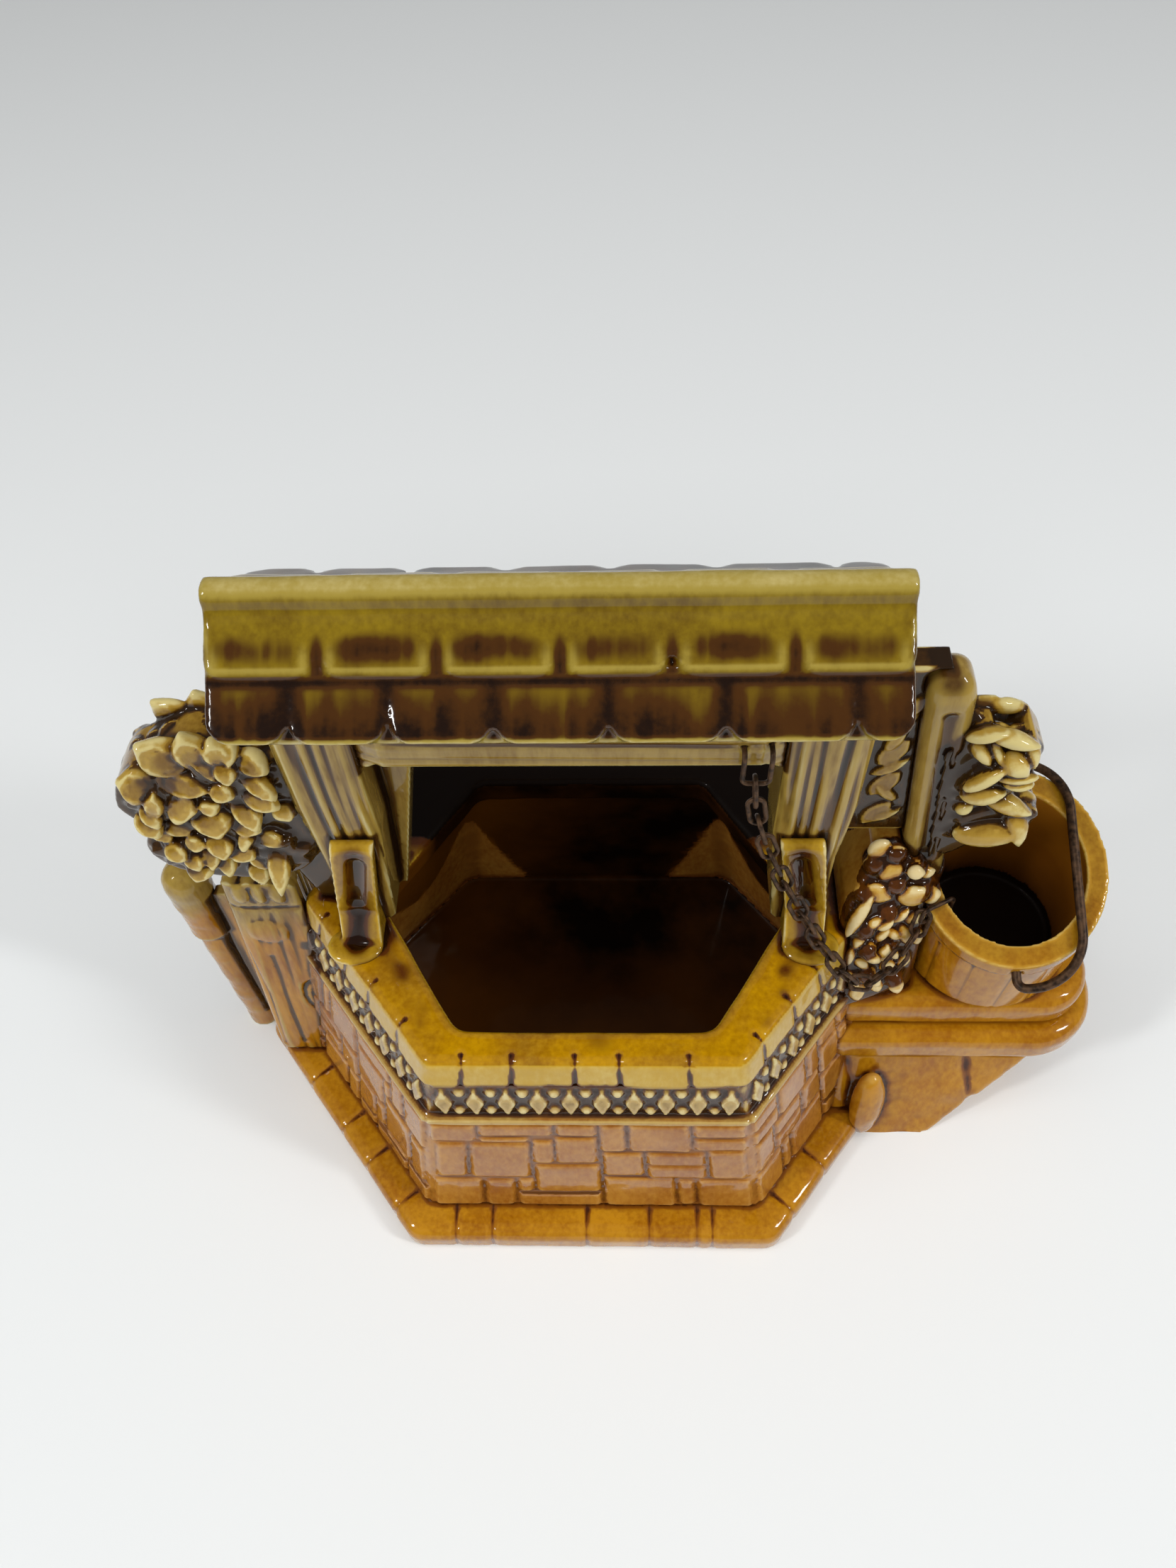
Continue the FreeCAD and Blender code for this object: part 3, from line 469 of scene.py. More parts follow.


# %% [markdown]
# Each part of the planter has its own mix of the recipe: two tones below and two
# above the height where the colour turns, two browns for the pools and two pale
# tones for the edges. The hollows have a thin dull glaze of their own, with their
# shade painted into it. A skin is finished by measuring where the glaze gathers,
# thinning it out and glazing it.

# %% Glazes
AMBER = ("945a06", "b88014")
STONE = ("94581a", "b47c30")
OLIVE = ("644c0a", "846c10")
KHAKI = ("7c5e22", "a48842")
BROWN = ("54290a", "220c02")
glaze_kerb = make_glaze("glaze_kerb", AMBER, AMBER, 40, ("7a440c", "3c1a06"), ("bc8420", "cc9c44"))
glaze_stone = make_glaze("glaze_stone", STONE, STONE, 40, ("84501c", "5c3010"), ("c08e48", "dcb478"))
glaze_band = make_glaze("glaze_band", STONE, KHAKI, 50, ("5c3614", "301a0a"), ("bc9c58", "d8c890"))
glaze_coping = make_glaze("glaze_coping", KHAKI, ("966402", "bc8a04"), 66, BROWN, ("c09a2c", "dcc880"))
glaze_roof = make_glaze("glaze_roof", OLIVE, OLIVE, 60, ("442606", "1a0a02"), ("a08c3c", "c6b67c"))
glaze_wood = make_glaze(
    "glaze_wood", AMBER, KHAKI, 62,
    ("4c3010", "20140a"), ("aa8e40", "cabd84"), streak=0.2,
)
glaze_leaf = make_glaze(
    "glaze_leaf", AMBER, ("7e5a14", "a07e2a"), 84,
    ("50320c", "2a1a0a"), ("b4923c", "d8c888"),
)
glaze_vine = make_glaze(
    "glaze_vine", AMBER, ("94601a", "b48634"), 76,
    ("5c3008", "2a1404"), ("c8a04a", "e4d09a"),
)
glaze_pillar = make_glaze(
    "glaze_pillar", AMBER, ("86600e", "ac861e"), 60,
    ("4c2402", "1e0a00"), ("c09a2c", "e0d094"),
)
glaze_bucket = make_glaze(
    "glaze_bucket", AMBER, ("80540c", "a67a1e"), 70,
    ("4c2808", "060302"), ("b48424", "d0ac58"),
)


def make_hollow_shade(name):
    """The thin dull glaze in the hollows, with their painted shade: amber at the lip to nearly black."""
    material, tree = new_material(name)
    patches = mottle(tree, place_in(tree), 60.0, 1.0, 4.0)
    both = plus(tree, mark(tree, "pool"), times(tree, patches, 0.3))
    stops = [(0.15, "9a6014"), (0.5, "6a3c08"), (0.85, "442406"), (1.1, "0c0502")]
    feed(tree, tree.nodes["Principled BSDF"], {
        "Base Color": ramp(tree, both, stops), "Roughness": 0.5, "Specular IOR Level": 0.1,
        "Coat Weight": 0.12, "Coat Roughness": 0.1,
    })
    return material


glaze_hollow_shade = make_hollow_shade("glaze_hollow_shade")
print("glazes:", [m.name for m in bpy.data.materials if m.name.startswith("glaze")])


def finish_skin(piece, nodes, voxel, most, material, extra=None, others=()):
    """others: (material, test) pairs. A test says from centres and normals which faces get it."""
    gather_glaze(piece, nodes, voxel, extra)
    before = thin_out(piece, most)
    piece.data.materials.clear()
    piece.data.materials.append(material)
    if others:
        count = len(piece.data.polygons)
        centre, normal = np.empty(count * 3), np.empty(count * 3)
        piece.data.polygons.foreach_get("center", centre)
        piece.data.polygons.foreach_get("normal", normal)
        which = np.zeros(count, dtype=np.int32)
        for k, (other, test) in enumerate(others):
            piece.data.materials.append(other)
            which[test(centre.reshape(-1, 3) / MM, normal.reshape(-1, 3))] = k + 1
        piece.data.polygons.foreach_set("material_index", which)
    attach(piece, "root")
    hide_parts(*nodes)
    print(piece.name, "triangles", before, "kept", min(before, most))


# %% [markdown]
# ## Kerb of the plinth
# The planter stands on a six-sided kerb of long, rounded stones. The joints are
# only pressed in: each one is a stroke that runs over the rounded shoulder and
# down the outer side, so it looks like a seam between two stones laid end to end.

# %% Plinth
# The side corners lie this much further out for each millimetre of half depth
FLARE = 0.80
KERB_TOP = 7.8


def ring(half_depth, half_front, z):
    """The six corners of the planter's outline at a height."""
    side = half_front + FLARE * half_depth
    front = [(-half_front, -half_depth), (half_front, -half_depth), (side, 0.0)]
    return [np.array((x, y, z)) for x, y in front + [(-x, -y) for x, y in front]]


def outward(a, b):
    along = (b - a) / np.linalg.norm(b - a)
    return along, np.array((along[1], -along[0], 0.0))


def kerb_joint(a, b, distance):
    along, out = outward(a, b)
    foot = a + along * distance
    profile = [(-6.5, 0.0), (-2.8, 0.0), (-0.9, -0.9), (0.0, -2.9), (0.0, -7.2)]
    return [tuple(foot + out * n + np.array((0, 0, h))) for n, h in profile]


plinth_skin = merged_copy("plinth_kerb", "plinth")
melt(plinth_skin, 0.6, 4)
unevenness(plinth_skin, 14, 0.5)
kerb = ring(53.0, 41.6, KERB_TOP)
front_joints = [10.1, 18.5, 40.3, 54.6, 65.5, 69.0]
side_joints = [8.0, 21.0, 36.0, 47.0, 60.0]
strokes = []
for i in range(6):
    for distance in (front_joints if i % 3 == 0 else side_joints):
        strokes.append((kerb_joint(kerb[i], kerb[(i + 1) % 6], distance), 1.4, 0.35))
carve(plinth_skin, strokes)
finish_skin(plinth_skin, ["plinth"], 0.6, 80000, glaze_kerb)

# %% [markdown]
# ## Stones of the wall
# The wall is laid in uneven courses of flat stones, some of them thin slips. One
# block is made as a cube, copied for each stone, its corners moved to the stone's
# place on the battered face, and one bevel rounds them all by the same amount.
# The numbers below are places on the front face, as shares of its width and height.

# %% Wall stones
FRONT_STONES = [
    (0.02, 0.02, 0.16, 0.34), (0.18, 0.02, 0.26, 0.33), (0.28, 0.02, 0.525, 0.165),
    (0.28, 0.20, 0.32, 0.34), (0.335, 0.20, 0.525, 0.52), (0.545, 0.02, 0.75, 0.37),
    (0.77, 0.04, 0.81, 0.34), (0.83, 0.02, 0.985, 0.35), (0.03, 0.39, 0.115, 0.77),
    (0.135, 0.38, 0.31, 0.77), (0.33, 0.56, 0.385, 0.80), (0.40, 0.56, 0.52, 0.84),
    (0.545, 0.41, 0.66, 0.67), (0.68, 0.38, 0.85, 0.51), (0.68, 0.54, 0.85, 0.67),
    (0.87, 0.38, 0.975, 0.69), (0.01, 0.81, 0.145, 0.98), (0.165, 0.87, 0.385, 0.98),
    (0.165, 0.80, 0.31, 0.84), (0.405, 0.87, 0.52, 0.98), (0.54, 0.70, 0.61, 0.98),
    (0.63, 0.70, 0.81, 0.98), (0.83, 0.86, 0.985, 0.98), (0.83, 0.72, 0.985, 0.83),
]


WALL_TOP = 63.0
STONES_LOW, STONES_HIGH = 8.2, 48.6
BEAD_LOW, FRIEZE_LOW, FRIEZE_HIGH, FRIEZE_INSET = 48.9, 50.8, 62.8, 0.7


def wall_ring(z, inset=0.0):
    share = (z - KERB_TOP) / (WALL_TOP - KERB_TOP)
    return ring(45.4 - 6.9 * share - inset, 37.7 - 6.1 * share - inset * 0.48, z)


def on_face(i, s, t, z_low, z_high, inset=0.0):
    low, high = wall_ring(z_low, inset), wall_ring(z_high, inset)
    j = (i + 1) % 6
    bottom = low[i] + s * (low[j] - low[i])
    top = high[i] + s * (high[j] - high[i])
    return bottom + t * (top - bottom)


clear_selection()
bpy.ops.mesh.primitive_cube_add(size=2.0, location=(0, 0, 0))
block_blank = bpy.context.object
corners = [tuple(v.co) for v in block_blank.data.vertices]


def face_block(i, s0, t0, s1, t1, z_low, z_high, rise):
    """A copy of the cube whose corners lie on a face of the wall."""
    mesh = block_blank.data.copy()
    j = (i + 1) % 6
    low = wall_ring(z_low)
    along, out = outward(low[i], low[j])
    for vertex, (a, b, c) in zip(mesh.vertices, corners):
        place = on_face(i, s0 if a < 0 else s1, t0 if b < 0 else t1, z_low, z_high)
        vertex.co = (place + out * (rise if c > 0 else -1.2)) * MM
    return new_object("block", mesh)


def round_blocks(blocks, width, name):
    """Joins blocks and rounds all their edges alike."""
    lay_on(blocks[0], blocks[1:])
    piece = blocks[0]
    piece.name = name
    bpy.ops.object.mode_set(mode="EDIT")
    bpy.ops.mesh.select_all(action="SELECT")
    bpy.ops.mesh.normals_make_consistent(inside=False)
    bpy.ops.mesh.bevel(offset=width * MM, segments=2, affect="EDGES")
    bpy.ops.object.mode_set(mode="OBJECT")
    return piece


stones = []
for i in range(6):
    for s0, t0, s1, t1 in FRONT_STONES:
        if i % 2:
            s0, s1 = 1 - s1, 1 - s0
        if i in (2, 3, 5):
            t0, t1 = 1 - t1, 1 - t0
        stones.append(face_block(i, s0, t0, s1, t1, STONES_LOW, STONES_HIGH, 0.75))
print("stones laid:", len(stones))
beads = [face_block(i, 0.0, 0.0, 1.0, 1.0, BEAD_LOW, FRIEZE_LOW, 1.1) for i in range(6)]


def plane_back(piece, low, high, inset):
    """Planes the six outer faces back to a ring that lies inset behind the wall."""
    co, out = points_of(piece)
    zone = np.where((co[:, 2] > low) & (co[:, 2] < high))[0]
    for i in range(6):
        base = on_face(i, 0, 0, low, high, inset)
        along = on_face(i, 1, 0, low, high, inset) - base
        up = on_face(i, 0.5, 1, low, high, inset) - on_face(i, 0.5, 0, low, high, inset)
        face = np.cross(along, up) / np.linalg.norm(np.cross(along, up))
        ahead = np.clip((co[zone] - base) @ face, 0, None)
        co[zone] -= ahead[:, None] * face
    move_points(piece, co)


wall_skin = merged_copy("well_stonework", "well_wall", "frieze_band")
melt(wall_skin, 0.5, 1)
plane_back(wall_skin, FRIEZE_LOW, FRIEZE_HIGH, FRIEZE_INSET)
lay_on(wall_skin, [round_blocks(stones, 0.5, "stones"), round_blocks(beads, 0.4, "beads")])


def in_pot(co, out):
    """Faces and points of the hollow, which look inwards or are its floor."""
    inward = np.sum(out[:, :2] * co[:, :2], axis=1) < 0
    lower = (co[:, 2] < 63.2) & (np.hypot(co[:, 0] * 0.8, co[:, 1]) < 42)
    floor = (out[:, 2] > 0.5) & (co[:, 2] > 11) & (co[:, 2] < 16)
    throat = (co[:, 2] > 62) & (out[:, 2] < 0.35) & (np.hypot(co[:, 0] * 0.7, co[:, 1]) < 36)
    return (inward & (lower | throat)) | floor


def pot_painted_shade(co):
    """Painted shade in the hollow: nearly black at the back, with painted light leaving the left wall
    amber-brown and the front of the floor lighter.
    """
    lit_left_wall = bell(co[:, 0] + 46, 26) * unit(co[:, 2] / 45)
    floor = 0.35 * bell(co[:, 2] - 13, 5) * unit((20 - co[:, 1]) / 40)
    return unit(0.82 - 0.5 * lit_left_wall - floor)


# %% [markdown]
# ## Frieze
# Between a bead and the coping runs a sunk band with a raised ornament, pale on a
# dark ground. Wall and band are melted into one skin, as they are cast in one. The
# ornament is a plain row of pointed leaves and pellets. A leaf starts as a cylinder
# of four sides and a pellet as a small ball pressed flat, stamped along all six
# faces. The band stands here at the photo's height, lower than in the solids.

# %% Frieze
def stamp(blank, place, right, up, out, size):
    """A copy of a blank set at a place, its X, Y and Z laid along right, up and out."""
    mesh = blank.data.copy()
    right, up, out = (np.array(v) / np.linalg.norm(v) for v in (right, up, out))
    columns = [v * s for v, s in zip((right, up, out), size)]
    rows = [[columns[c][r] * MM for c in range(3)] + [place[r] * MM] for r in range(3)]
    mesh.transform(Matrix(rows + [[0, 0, 0, 1]]))
    return new_object("stamp", mesh)


clear_selection()
bpy.ops.mesh.primitive_cylinder_add(vertices=4, radius=0.5, depth=1.0, location=(0, 0, 0))
lozenge_blank = bpy.context.object
bpy.ops.object.mode_set(mode="EDIT")
bpy.ops.mesh.select_all(action="SELECT")
bpy.ops.mesh.bevel(offset=0.12, segments=2, affect="EDGES")
bpy.ops.object.mode_set(mode="OBJECT")
clear_selection()
bpy.ops.mesh.primitive_ico_sphere_add(subdivisions=3, radius=0.5, location=(0, 0, 0))
pellet_blank = bpy.context.object

frieze_parts = []
for i in range(6):
    low, high = wall_ring(FRIEZE_LOW, FRIEZE_INSET), wall_ring(FRIEZE_HIGH, FRIEZE_INSET)
    j = (i + 1) % 6
    along, out = outward(low[i], low[j])
    length = np.linalg.norm(low[j] - low[i])
    count = max(4, round(length / 6.6))
    up = (high[i] + high[j] - low[i] - low[j]) / 2
    for k in range(count):
        centre = on_face(i, (k + 0.5) / count, 0.48, FRIEZE_LOW, FRIEZE_HIGH, FRIEZE_INSET)
        frieze_parts.append(stamp(lozenge_blank, centre, along, up, out, (4.0, 10.2, 2.4)))
        for t in ((0.2, 0.76) if k else ()):
            centre = on_face(i, k / count, t, FRIEZE_LOW, FRIEZE_HIGH, FRIEZE_INSET)
            frieze_parts.append(stamp(pellet_blank, centre, along, up, out, (2.5, 3.0, 2.2)))
lay_on(wall_skin, frieze_parts)
melt(wall_skin, 0.46, 2)
unevenness(wall_skin, 9, 0.35)


def in_frieze(co, out):
    return (co[:, 2] > 49.0) & ~in_pot(co, out)


def wall_pools_and_shade(co, out, pool, edge):
    inside = in_pot(co, out)
    ground = (co[:, 2] > FRIEZE_LOW + 0.4) & ~inside
    depth = unit(pool * 1.4 + 0.35 * (edge < 0.10))
    pool, edge = np.where(ground, depth, pool * 0.9), np.where(ground, edge * 1.4, edge * 0.8)
    # Inside the pot, painted shade takes the place of the glaze's pools and edges.
    return np.where(inside, pot_painted_shade(co), pool), np.where(inside, 0, edge)


finish_skin(
    wall_skin, ["well_wall", "frieze_band"], 0.46, 190000, glaze_stone,
    wall_pools_and_shade, [(glaze_hollow_shade, in_pot), (glaze_band, in_frieze)],
)

# %% [markdown]
# ## Coping
# The thick rim is cast in one with shallow joints on its outer face, and its top is
# worn round. The glaze on top is mottled amber and brown, and darker where it
# gathers in the corners, so some of the pooling is laid on by place. Its back half
# lies in painted shade, dark and without pale edges, deepest behind the posts.

# %% Coping rim
coping_skin = merged_copy("coping_ring", "coping_rim")
melt(coping_skin, 0.5, 5)
unevenness(coping_skin, 12, 0.6)
top, foot = ring(36.9, 30.6, 70.8), wall_ring(WALL_TOP)
for corner, side in ((3, 1), (4, -1)):
    top[corner][0] = side * 40.2
strokes = []
for i in range(6):
    j = (i + 1) % 6
    along, out = outward(top[i], top[j])
    shares = [0.11, 0.27, 0.47, 0.61, 0.83] if i % 3 == 0 else [0.14, 0.36, 0.55, 0.78]
    for s in shares:
        high = top[i] + s * (top[j] - top[i])
        low = foot[i] + s * (foot[j] - foot[i])
        line = [high - out * 1.9, high - out * 0.5 - np.array((0, 0, 0.6)), high - np.array((0, 0, 2.2)), low]
        strokes.append(([tuple(p) for p in line], 1.4, 0.45))
carve(coping_skin, strokes)


# Brown pools on the level top: x, y, radius and strength
RIM_POOLS = [
    (-42.3, -10.4, 4, 1.0), (-37.7, -17.3, 3, 0.5), (-32.9, -26.1, 3.5, 0.8), (-50, -2, 5, 0.6),
    (-36, -33, 4, 0.3), (43.3, -12.1, 3, 1.0), (40.2, -17.3, 2, 0.6), (39.2, -21.7, 1.5, 0.4),
    (35.3, -27.7, 2, 0.3), (50, -2, 4, 0.4), (-14, -34, 4, 0.2), (2, -33, 5, 0.25), (17, -34, 4, 0.25),
    (27, -33, 3, 0.2),
]


def rim_behind(co, out):
    """The rim's top and inner side behind the posts, which the portal shows in shadow."""
    place = (co[:, 1] > 15) & (co[:, 1] < 36) & (co[:, 2] > 62)
    return in_pot(co, out) | (place & (out[:, 1] < 0.5) & (out[:, 2] > -0.3))


def rim_runs_and_shade(co, out, pool, edge):
    flat = unit((out[:, 2] - 0.6) / 0.3)
    patch = 0.7 + 0.9 * cloud(co * 0.16)
    for x, y, radius, strength in RIM_POOLS:
        far = np.hypot(co[:, 0] - x, co[:, 1] - y) / radius
        pool = pool + flat * patch * strength * np.exp(-far ** 2)
    # Painted shade over the back of the rim, under the roof: its pools deepen and its pale edges go.
    back = unit((co[:, 1] - 10) / 6) * (out[:, 1] < 0.5)
    pool = np.maximum(pool, 0.9 * back)
    inside = rim_behind(co, out)
    # Behind the posts, painted shade: nearly black on the top, the hollow's painted shade on the inner side.
    depth = np.where(out[:, 2] > 0.4, 0.95, np.maximum(pot_painted_shade(co), 0.8 * back))
    face = 0.55 * (np.abs(out[:, 2] - 0.15) < 0.45) * (pool < 0.35)
    edge = np.maximum(edge * np.where(out[:, 2] > 0.6, 0.35, 1.0), face)
    return np.where(inside, depth, pool), np.where(inside, 0, edge * (1 - back))


finish_skin(
    coping_skin, ["coping_rim"], 0.5, 80000, glaze_coping,
    rim_runs_and_shade, [(glaze_hollow_shade, rim_behind)],
)

# %% [markdown]
# ## Roof
# The roof is one soft slab with two rows of broad shingles on each side and a
# rounded ridge. The joints fade out towards the ridge, so a thin strip is laid
# over their upper ends before melting. The glaze has run down each shingle and
# stands dark over its lower half, with an olive rim round it and a pale eave.
# Just under the upper row lies a band of painted shadow, and the ridge has a
# painted sheen.

# %% Roof
PITCH = math.radians(40.0)
PEAK, THICK = np.array((0.0, -1.0, 165.0)), 2.2
ROOF_X, ROOF_HALF = -1.4, 52.2


def slope_ways(sign):
    """The ways down a slope and out of it. sign is -1 in front and 1 behind."""
    down = sign * np.array((0, math.cos(PITCH), 0)) + np.array((0, 0, -math.sin(PITCH)))
    lift = sign * np.array((0, math.sin(PITCH), 0)) + np.array((0, 0, math.cos(PITCH)))
    return down, lift


def on_roof(x, v, w, back):
    """A point at x, v down a slope and w above the deck, in millimetres."""
    down, lift = slope_ways(1 if back else -1)
    return PEAK - lift * THICK + np.array((x, 0, 0)) + down * v + lift * w


def roof_strip(v0, v1, w, back):
    mesh = block_blank.data.copy()
    for vertex, (a, b, c) in zip(mesh.vertices, corners):
        x = ROOF_X + (ROOF_HALF if a > 0 else -ROOF_HALF)
        v = v1 if b > 0 else v0
        vertex.co = on_roof(x, v, (w if b < 0 else w * 0.62) if c > 0 else -1.0, back) * MM
    return new_object("strip", mesh)


ROOF = [
    "roof_deck", "shingles_front_upper", "shingles_front_lower",
    "shingles_back_upper", "shingles_back_lower", "ridge_course",
]
roof_skin = merged_copy("roof_slab", *ROOF)
strips = [roof_strip(1.0, 11.5, 1.5, back) for back in (False, True)]
strips += [roof_strip(13.0, 20.0, 1.35, back) for back in (False, True)]
lay_on(roof_skin, [round_blocks(strips, 0.3, "roof_strips")])
melt(roof_skin, 0.55, 9)
unevenness(roof_skin, 16, 0.4)
UPPER_JOINTS = [-54, -36.6, -18.9, -0.8, 15.5, 33.3, 51]
LOWER_JOINTS = [-54, -41.3, -26.4, -10.8, 6.2, 23.4, 42.4, 51]


def roof_runs_and_painted_light(co, out, pool, edge):
    down, lift = slope_ways(np.where(co[:, 1] > PEAK[1], 1, -1)[:, None])
    v = np.sum((co - PEAK + lift * THICK) * down, axis=1)
    facing = unit(np.sum(out * lift, axis=1))
    upper = np.min([np.abs(co[:, 0] - x) for x in UPPER_JOINTS], axis=0)
    lower = np.min([np.abs(co[:, 0] - x) for x in LOWER_JOINTS], axis=0)
    patch = 0.8 + 0.9 * cloud(co * 0.09) + 0.35 * cloud(co * (0.9, 0.12, 0.12))
    front_end = v[facing > 0.8].max()
    eave = unit((v - front_end + 0.9) / 1.0)
    soft = 0.62 * patch * unit((upper - 1.0) / 3.5) * bell(v - 10.2, 2.3) * (v < 14)
    joint = 0.7 * bell(upper, 1.0) * unit((v - 6.5) / 4) * (v < 14)
    # A painted shadow in a band just under the butts of the upper row.
    painted_shadow_under = 0.85 * bell(v - 14.9, 0.8)
    streak = cloud(co * (0.55, 0.04, 0.0) + (0.0, 0.0, 3.0))
    low = (0.8 * patch + 0.5 * streak) * unit((v - 15.5) / 6.5) * (v > 14) * (1 - eave)
    seam = 0.8 * bell(lower, 1.6) * unit((v - 14.2) / 0.6) * (1 - eave)
    stain = (0.12 + 0.10 * patch + 0.25 * unit(streak)) * (v > 14) * (1 - eave)
    run = 1 - (1 - stain) * (1 - soft) * (1 - joint) * (1 - painted_shadow_under) * (1 - low) * (1 - seam)
    rim = 0.3 * bell(upper - 2.0, 1.0) * unit((v - 8) / 3) * (v < 13.6)
    rim = np.maximum(rim, 0.45 * bell(v - 13.1, 0.5) * unit((upper - 0.6) / 1.5))
    # A pale band along the rounded ridge: a painted sheen.
    crown = 0.62 * unit((3.6 - v) / 2.2) * (v > -4)
    ridge = np.clip((v - 4.5) / 4, 0.12, 1)
    pool = np.maximum(pool * 0.5 * ridge, unit(run) * facing)
    lip = 0.75 * eave * (np.sum(out * lift, axis=1) > -0.4) * (v < front_end + 3)
    pale = np.maximum(np.maximum(edge * ridge, rim * facing), crown)
    return pool * (1 - 0.8 * eave), np.maximum(pale, lip)


finish_skin(roof_skin, ROOF, 0.55, 120000, glaze_roof, roof_runs_and_painted_light)

# %% [markdown]
# ## Posts, feet and lintel
# The roof rides on two weathered planks joined by a lintel. The ribs of their
# grain are pressed in along their lean, and the little pillar at the foot of each
# one has a deep flute between two raised edges.

# %% Portal
# The portal's middle, and how far the flutes of its pillars lie from it, low and high
PORTAL_X, FLUTE_LOW, FLUTE_HIGH = -1.0, 44.9, 41.9


def plank_face(co, out):
    """The plank's own front and back, without the smooth brace behind its edge."""
    return ((co[:, 1] < 3.0) & (out[:, 1] < -0.4)) | (out[:, 1] > 0.4)


for side, sign in (("left", -1), ("right", 1)):
    node = side + "_post"
    post_skin = merged_copy(side + "_plank", node)
    melt(post_skin, 0.4, 3)
    grain(post_skin, (1, 0.6, 0), 0.02 * sign, 3.0, 0.26, 3 + sign, plank_face)
    finish_skin(post_skin, [node], 0.4, 45000, glaze_wood)
    node = side + "_post_foot"
    foot_skin = merged_copy(side + "_pillar", node)
    spot = (PORTAL_X + sign * 46.4, -11.6, 71.0)
    toe = stamp(pellet_blank, spot, (1, 0, 0), (0, 1, 0), (0, 0, 1), (12, 9, 3.0))
    lay_on(foot_skin, [toe])
    melt(foot_skin, 0.38, 9)
    flute = [
        (PORTAL_X + sign * (FLUTE_LOW + 1), -11.6, 72.0),
        (PORTAL_X + sign * FLUTE_LOW, -8.4, 78.0),
        (PORTAL_X + sign * FLUTE_HIGH, -8.2, 99.0),
    ]
    carve(foot_skin, [(flute, 5.0, 0.8)])

    def fluted(co, out, pool, edge):
        sunk = bell(distance_to(flute, co), 2.2) * (0.85 if sign < 0 else 0.75)
        return unit(0.5 * pool + sunk), edge * (1 - sunk)

    finish_skin(foot_skin, [node], 0.38, 30000, glaze_pillar, fluted)
lintel_skin = merged_copy("lintel_beam", "lintel")
melt(lintel_skin, 0.42, 3)
co, out = points_of(lintel_skin)
print("lintel from", co.min(axis=0).round(1), "to", co.max(axis=0).round(1))
fade = unit((np.abs(co[:, 0] - np.mean(co[:, 0])) / (np.ptp(co[:, 0]) / 2) - 0.88) / 0.12)
co[:, 1] += 2.2 * fade * unit((np.mean(co[:, 1]) - co[:, 1]) / 1.5)
move_points(lintel_skin, co)
grain(lintel_skin, (0.02, 0.5, 1.0), 0.0, 3.2, 0.12, 9)
finish_skin(lintel_skin, ["lintel"], 0.42, 40000, glaze_wood)

# %% [markdown]
# ## Ledge
# Two thick slabs lie on a rough stone pier. The slabs are softened and made a
# little uneven. The pier gets a few wide joints as well, and a small rounded stone
# where it meets the kerb.

# %% Ledge
LEDGE_Y, PIER_HALF = 3.3, 28.6
pier_skin = merged_copy("pier_stones", "ledge_pier")
axes = ((1, 0.3, 0), (0, 0.2, 1), (0.2, -1, 0.2))
lay_on(pier_skin, [stamp(pellet_blank, (64.4, -23.0, 13.2), *axes, (8.5, 24.0, 6.5))])
melt(pier_skin, 0.55, 5)
strokes = []
for sign in (-1, 1):
    for x, lean in ((60.6, 1.5), (88.5, 2.5)):
        low_y = LEDGE_Y + sign * (PIER_HALF if x < 81 else PIER_HALF - (x - 80.4) * 0.77)
        high_y = LEDGE_Y + sign * 19.6
        line = [(x + lean, low_y, 0.5), (x, high_y + sign * 4.5, 13.5), (x - lean, high_y, 25.8)]
        strokes.append((line, 3.0, 0.55))
strokes.append(([(107.5, -2.0, 1.0), (108.3, -1.0, 13.0), (109.0, -2.5, 25.5)], 3.0, 0.55))
carve(pier_skin, strokes)
unevenness(pier_skin, 11, 1.2)
finish_skin(pier_skin, ["ledge_pier"], 0.55, 60000, glaze_kerb)
for title, node in (("lower_slab", "ledge_lower_slab"), ("upper_slab", "ledge_upper_slab")):
    slab_skin = merged_copy(title, node)
    melt(slab_skin, 0.5, 4)
    unevenness(slab_skin, 14, 0.7)
    finish_skin(slab_skin, [node], 0.5, 45000, glaze_kerb)

# %% [markdown]
# ## Bucket
# The round bucket's lip tilts forward. It keeps its shape, softened, with faint
# upright staves. Its hollow has the dull glaze with painted shade, darker the
# deeper it goes and lighter on the far wall where light falls.

# %% Bucket
BUCKET_X, BUCKET_Y = 87.0, LEDGE_Y
LIP_HEIGHT, LIP_TILT = 77.0, 0.384


def bucket_rim(co):
    """Height of the tilted lip above each point."""
    return LIP_HEIGHT + (co[:, 1] - BUCKET_Y) * LIP_TILT


bucket_skin = merged_copy("round_bucket", "bucket")
melt(bucket_skin, 0.45, 3)
co, out = points_of(bucket_skin)
turn = np.arctan2(co[:, 1] - BUCKET_Y, co[:, 0] - BUCKET_X)
radius = np.hypot(co[:, 0] - BUCKET_X, co[:, 1] - BUCKET_Y)
outer = (radius > 16.5) & (out[:, 2] < 0.5)
stave = -0.16 * bell(np.mod(turn * 14 / (2 * math.pi), 1) - 0.5, 0.07)
move_points(bucket_skin, co + out * (np.where(outer & (co[:, 2] < 66), stave, 0))[:, None])


def in_bucket(co, out):
    radius = np.hypot(co[:, 0] - BUCKET_X, co[:, 1] - BUCKET_Y)
    outwards = out[:, 0] * (co[:, 0] - BUCKET_X) + out[:, 1] * (co[:, 1] - BUCKET_Y)
    inward = outwards < 0.3 * radius
    rim = bucket_rim(co)
    return (radius < 17.2) & (co[:, 2] > 51) & (co[:, 2] < rim - 0.6) & (inward | (out[:, 2] > 0.8))


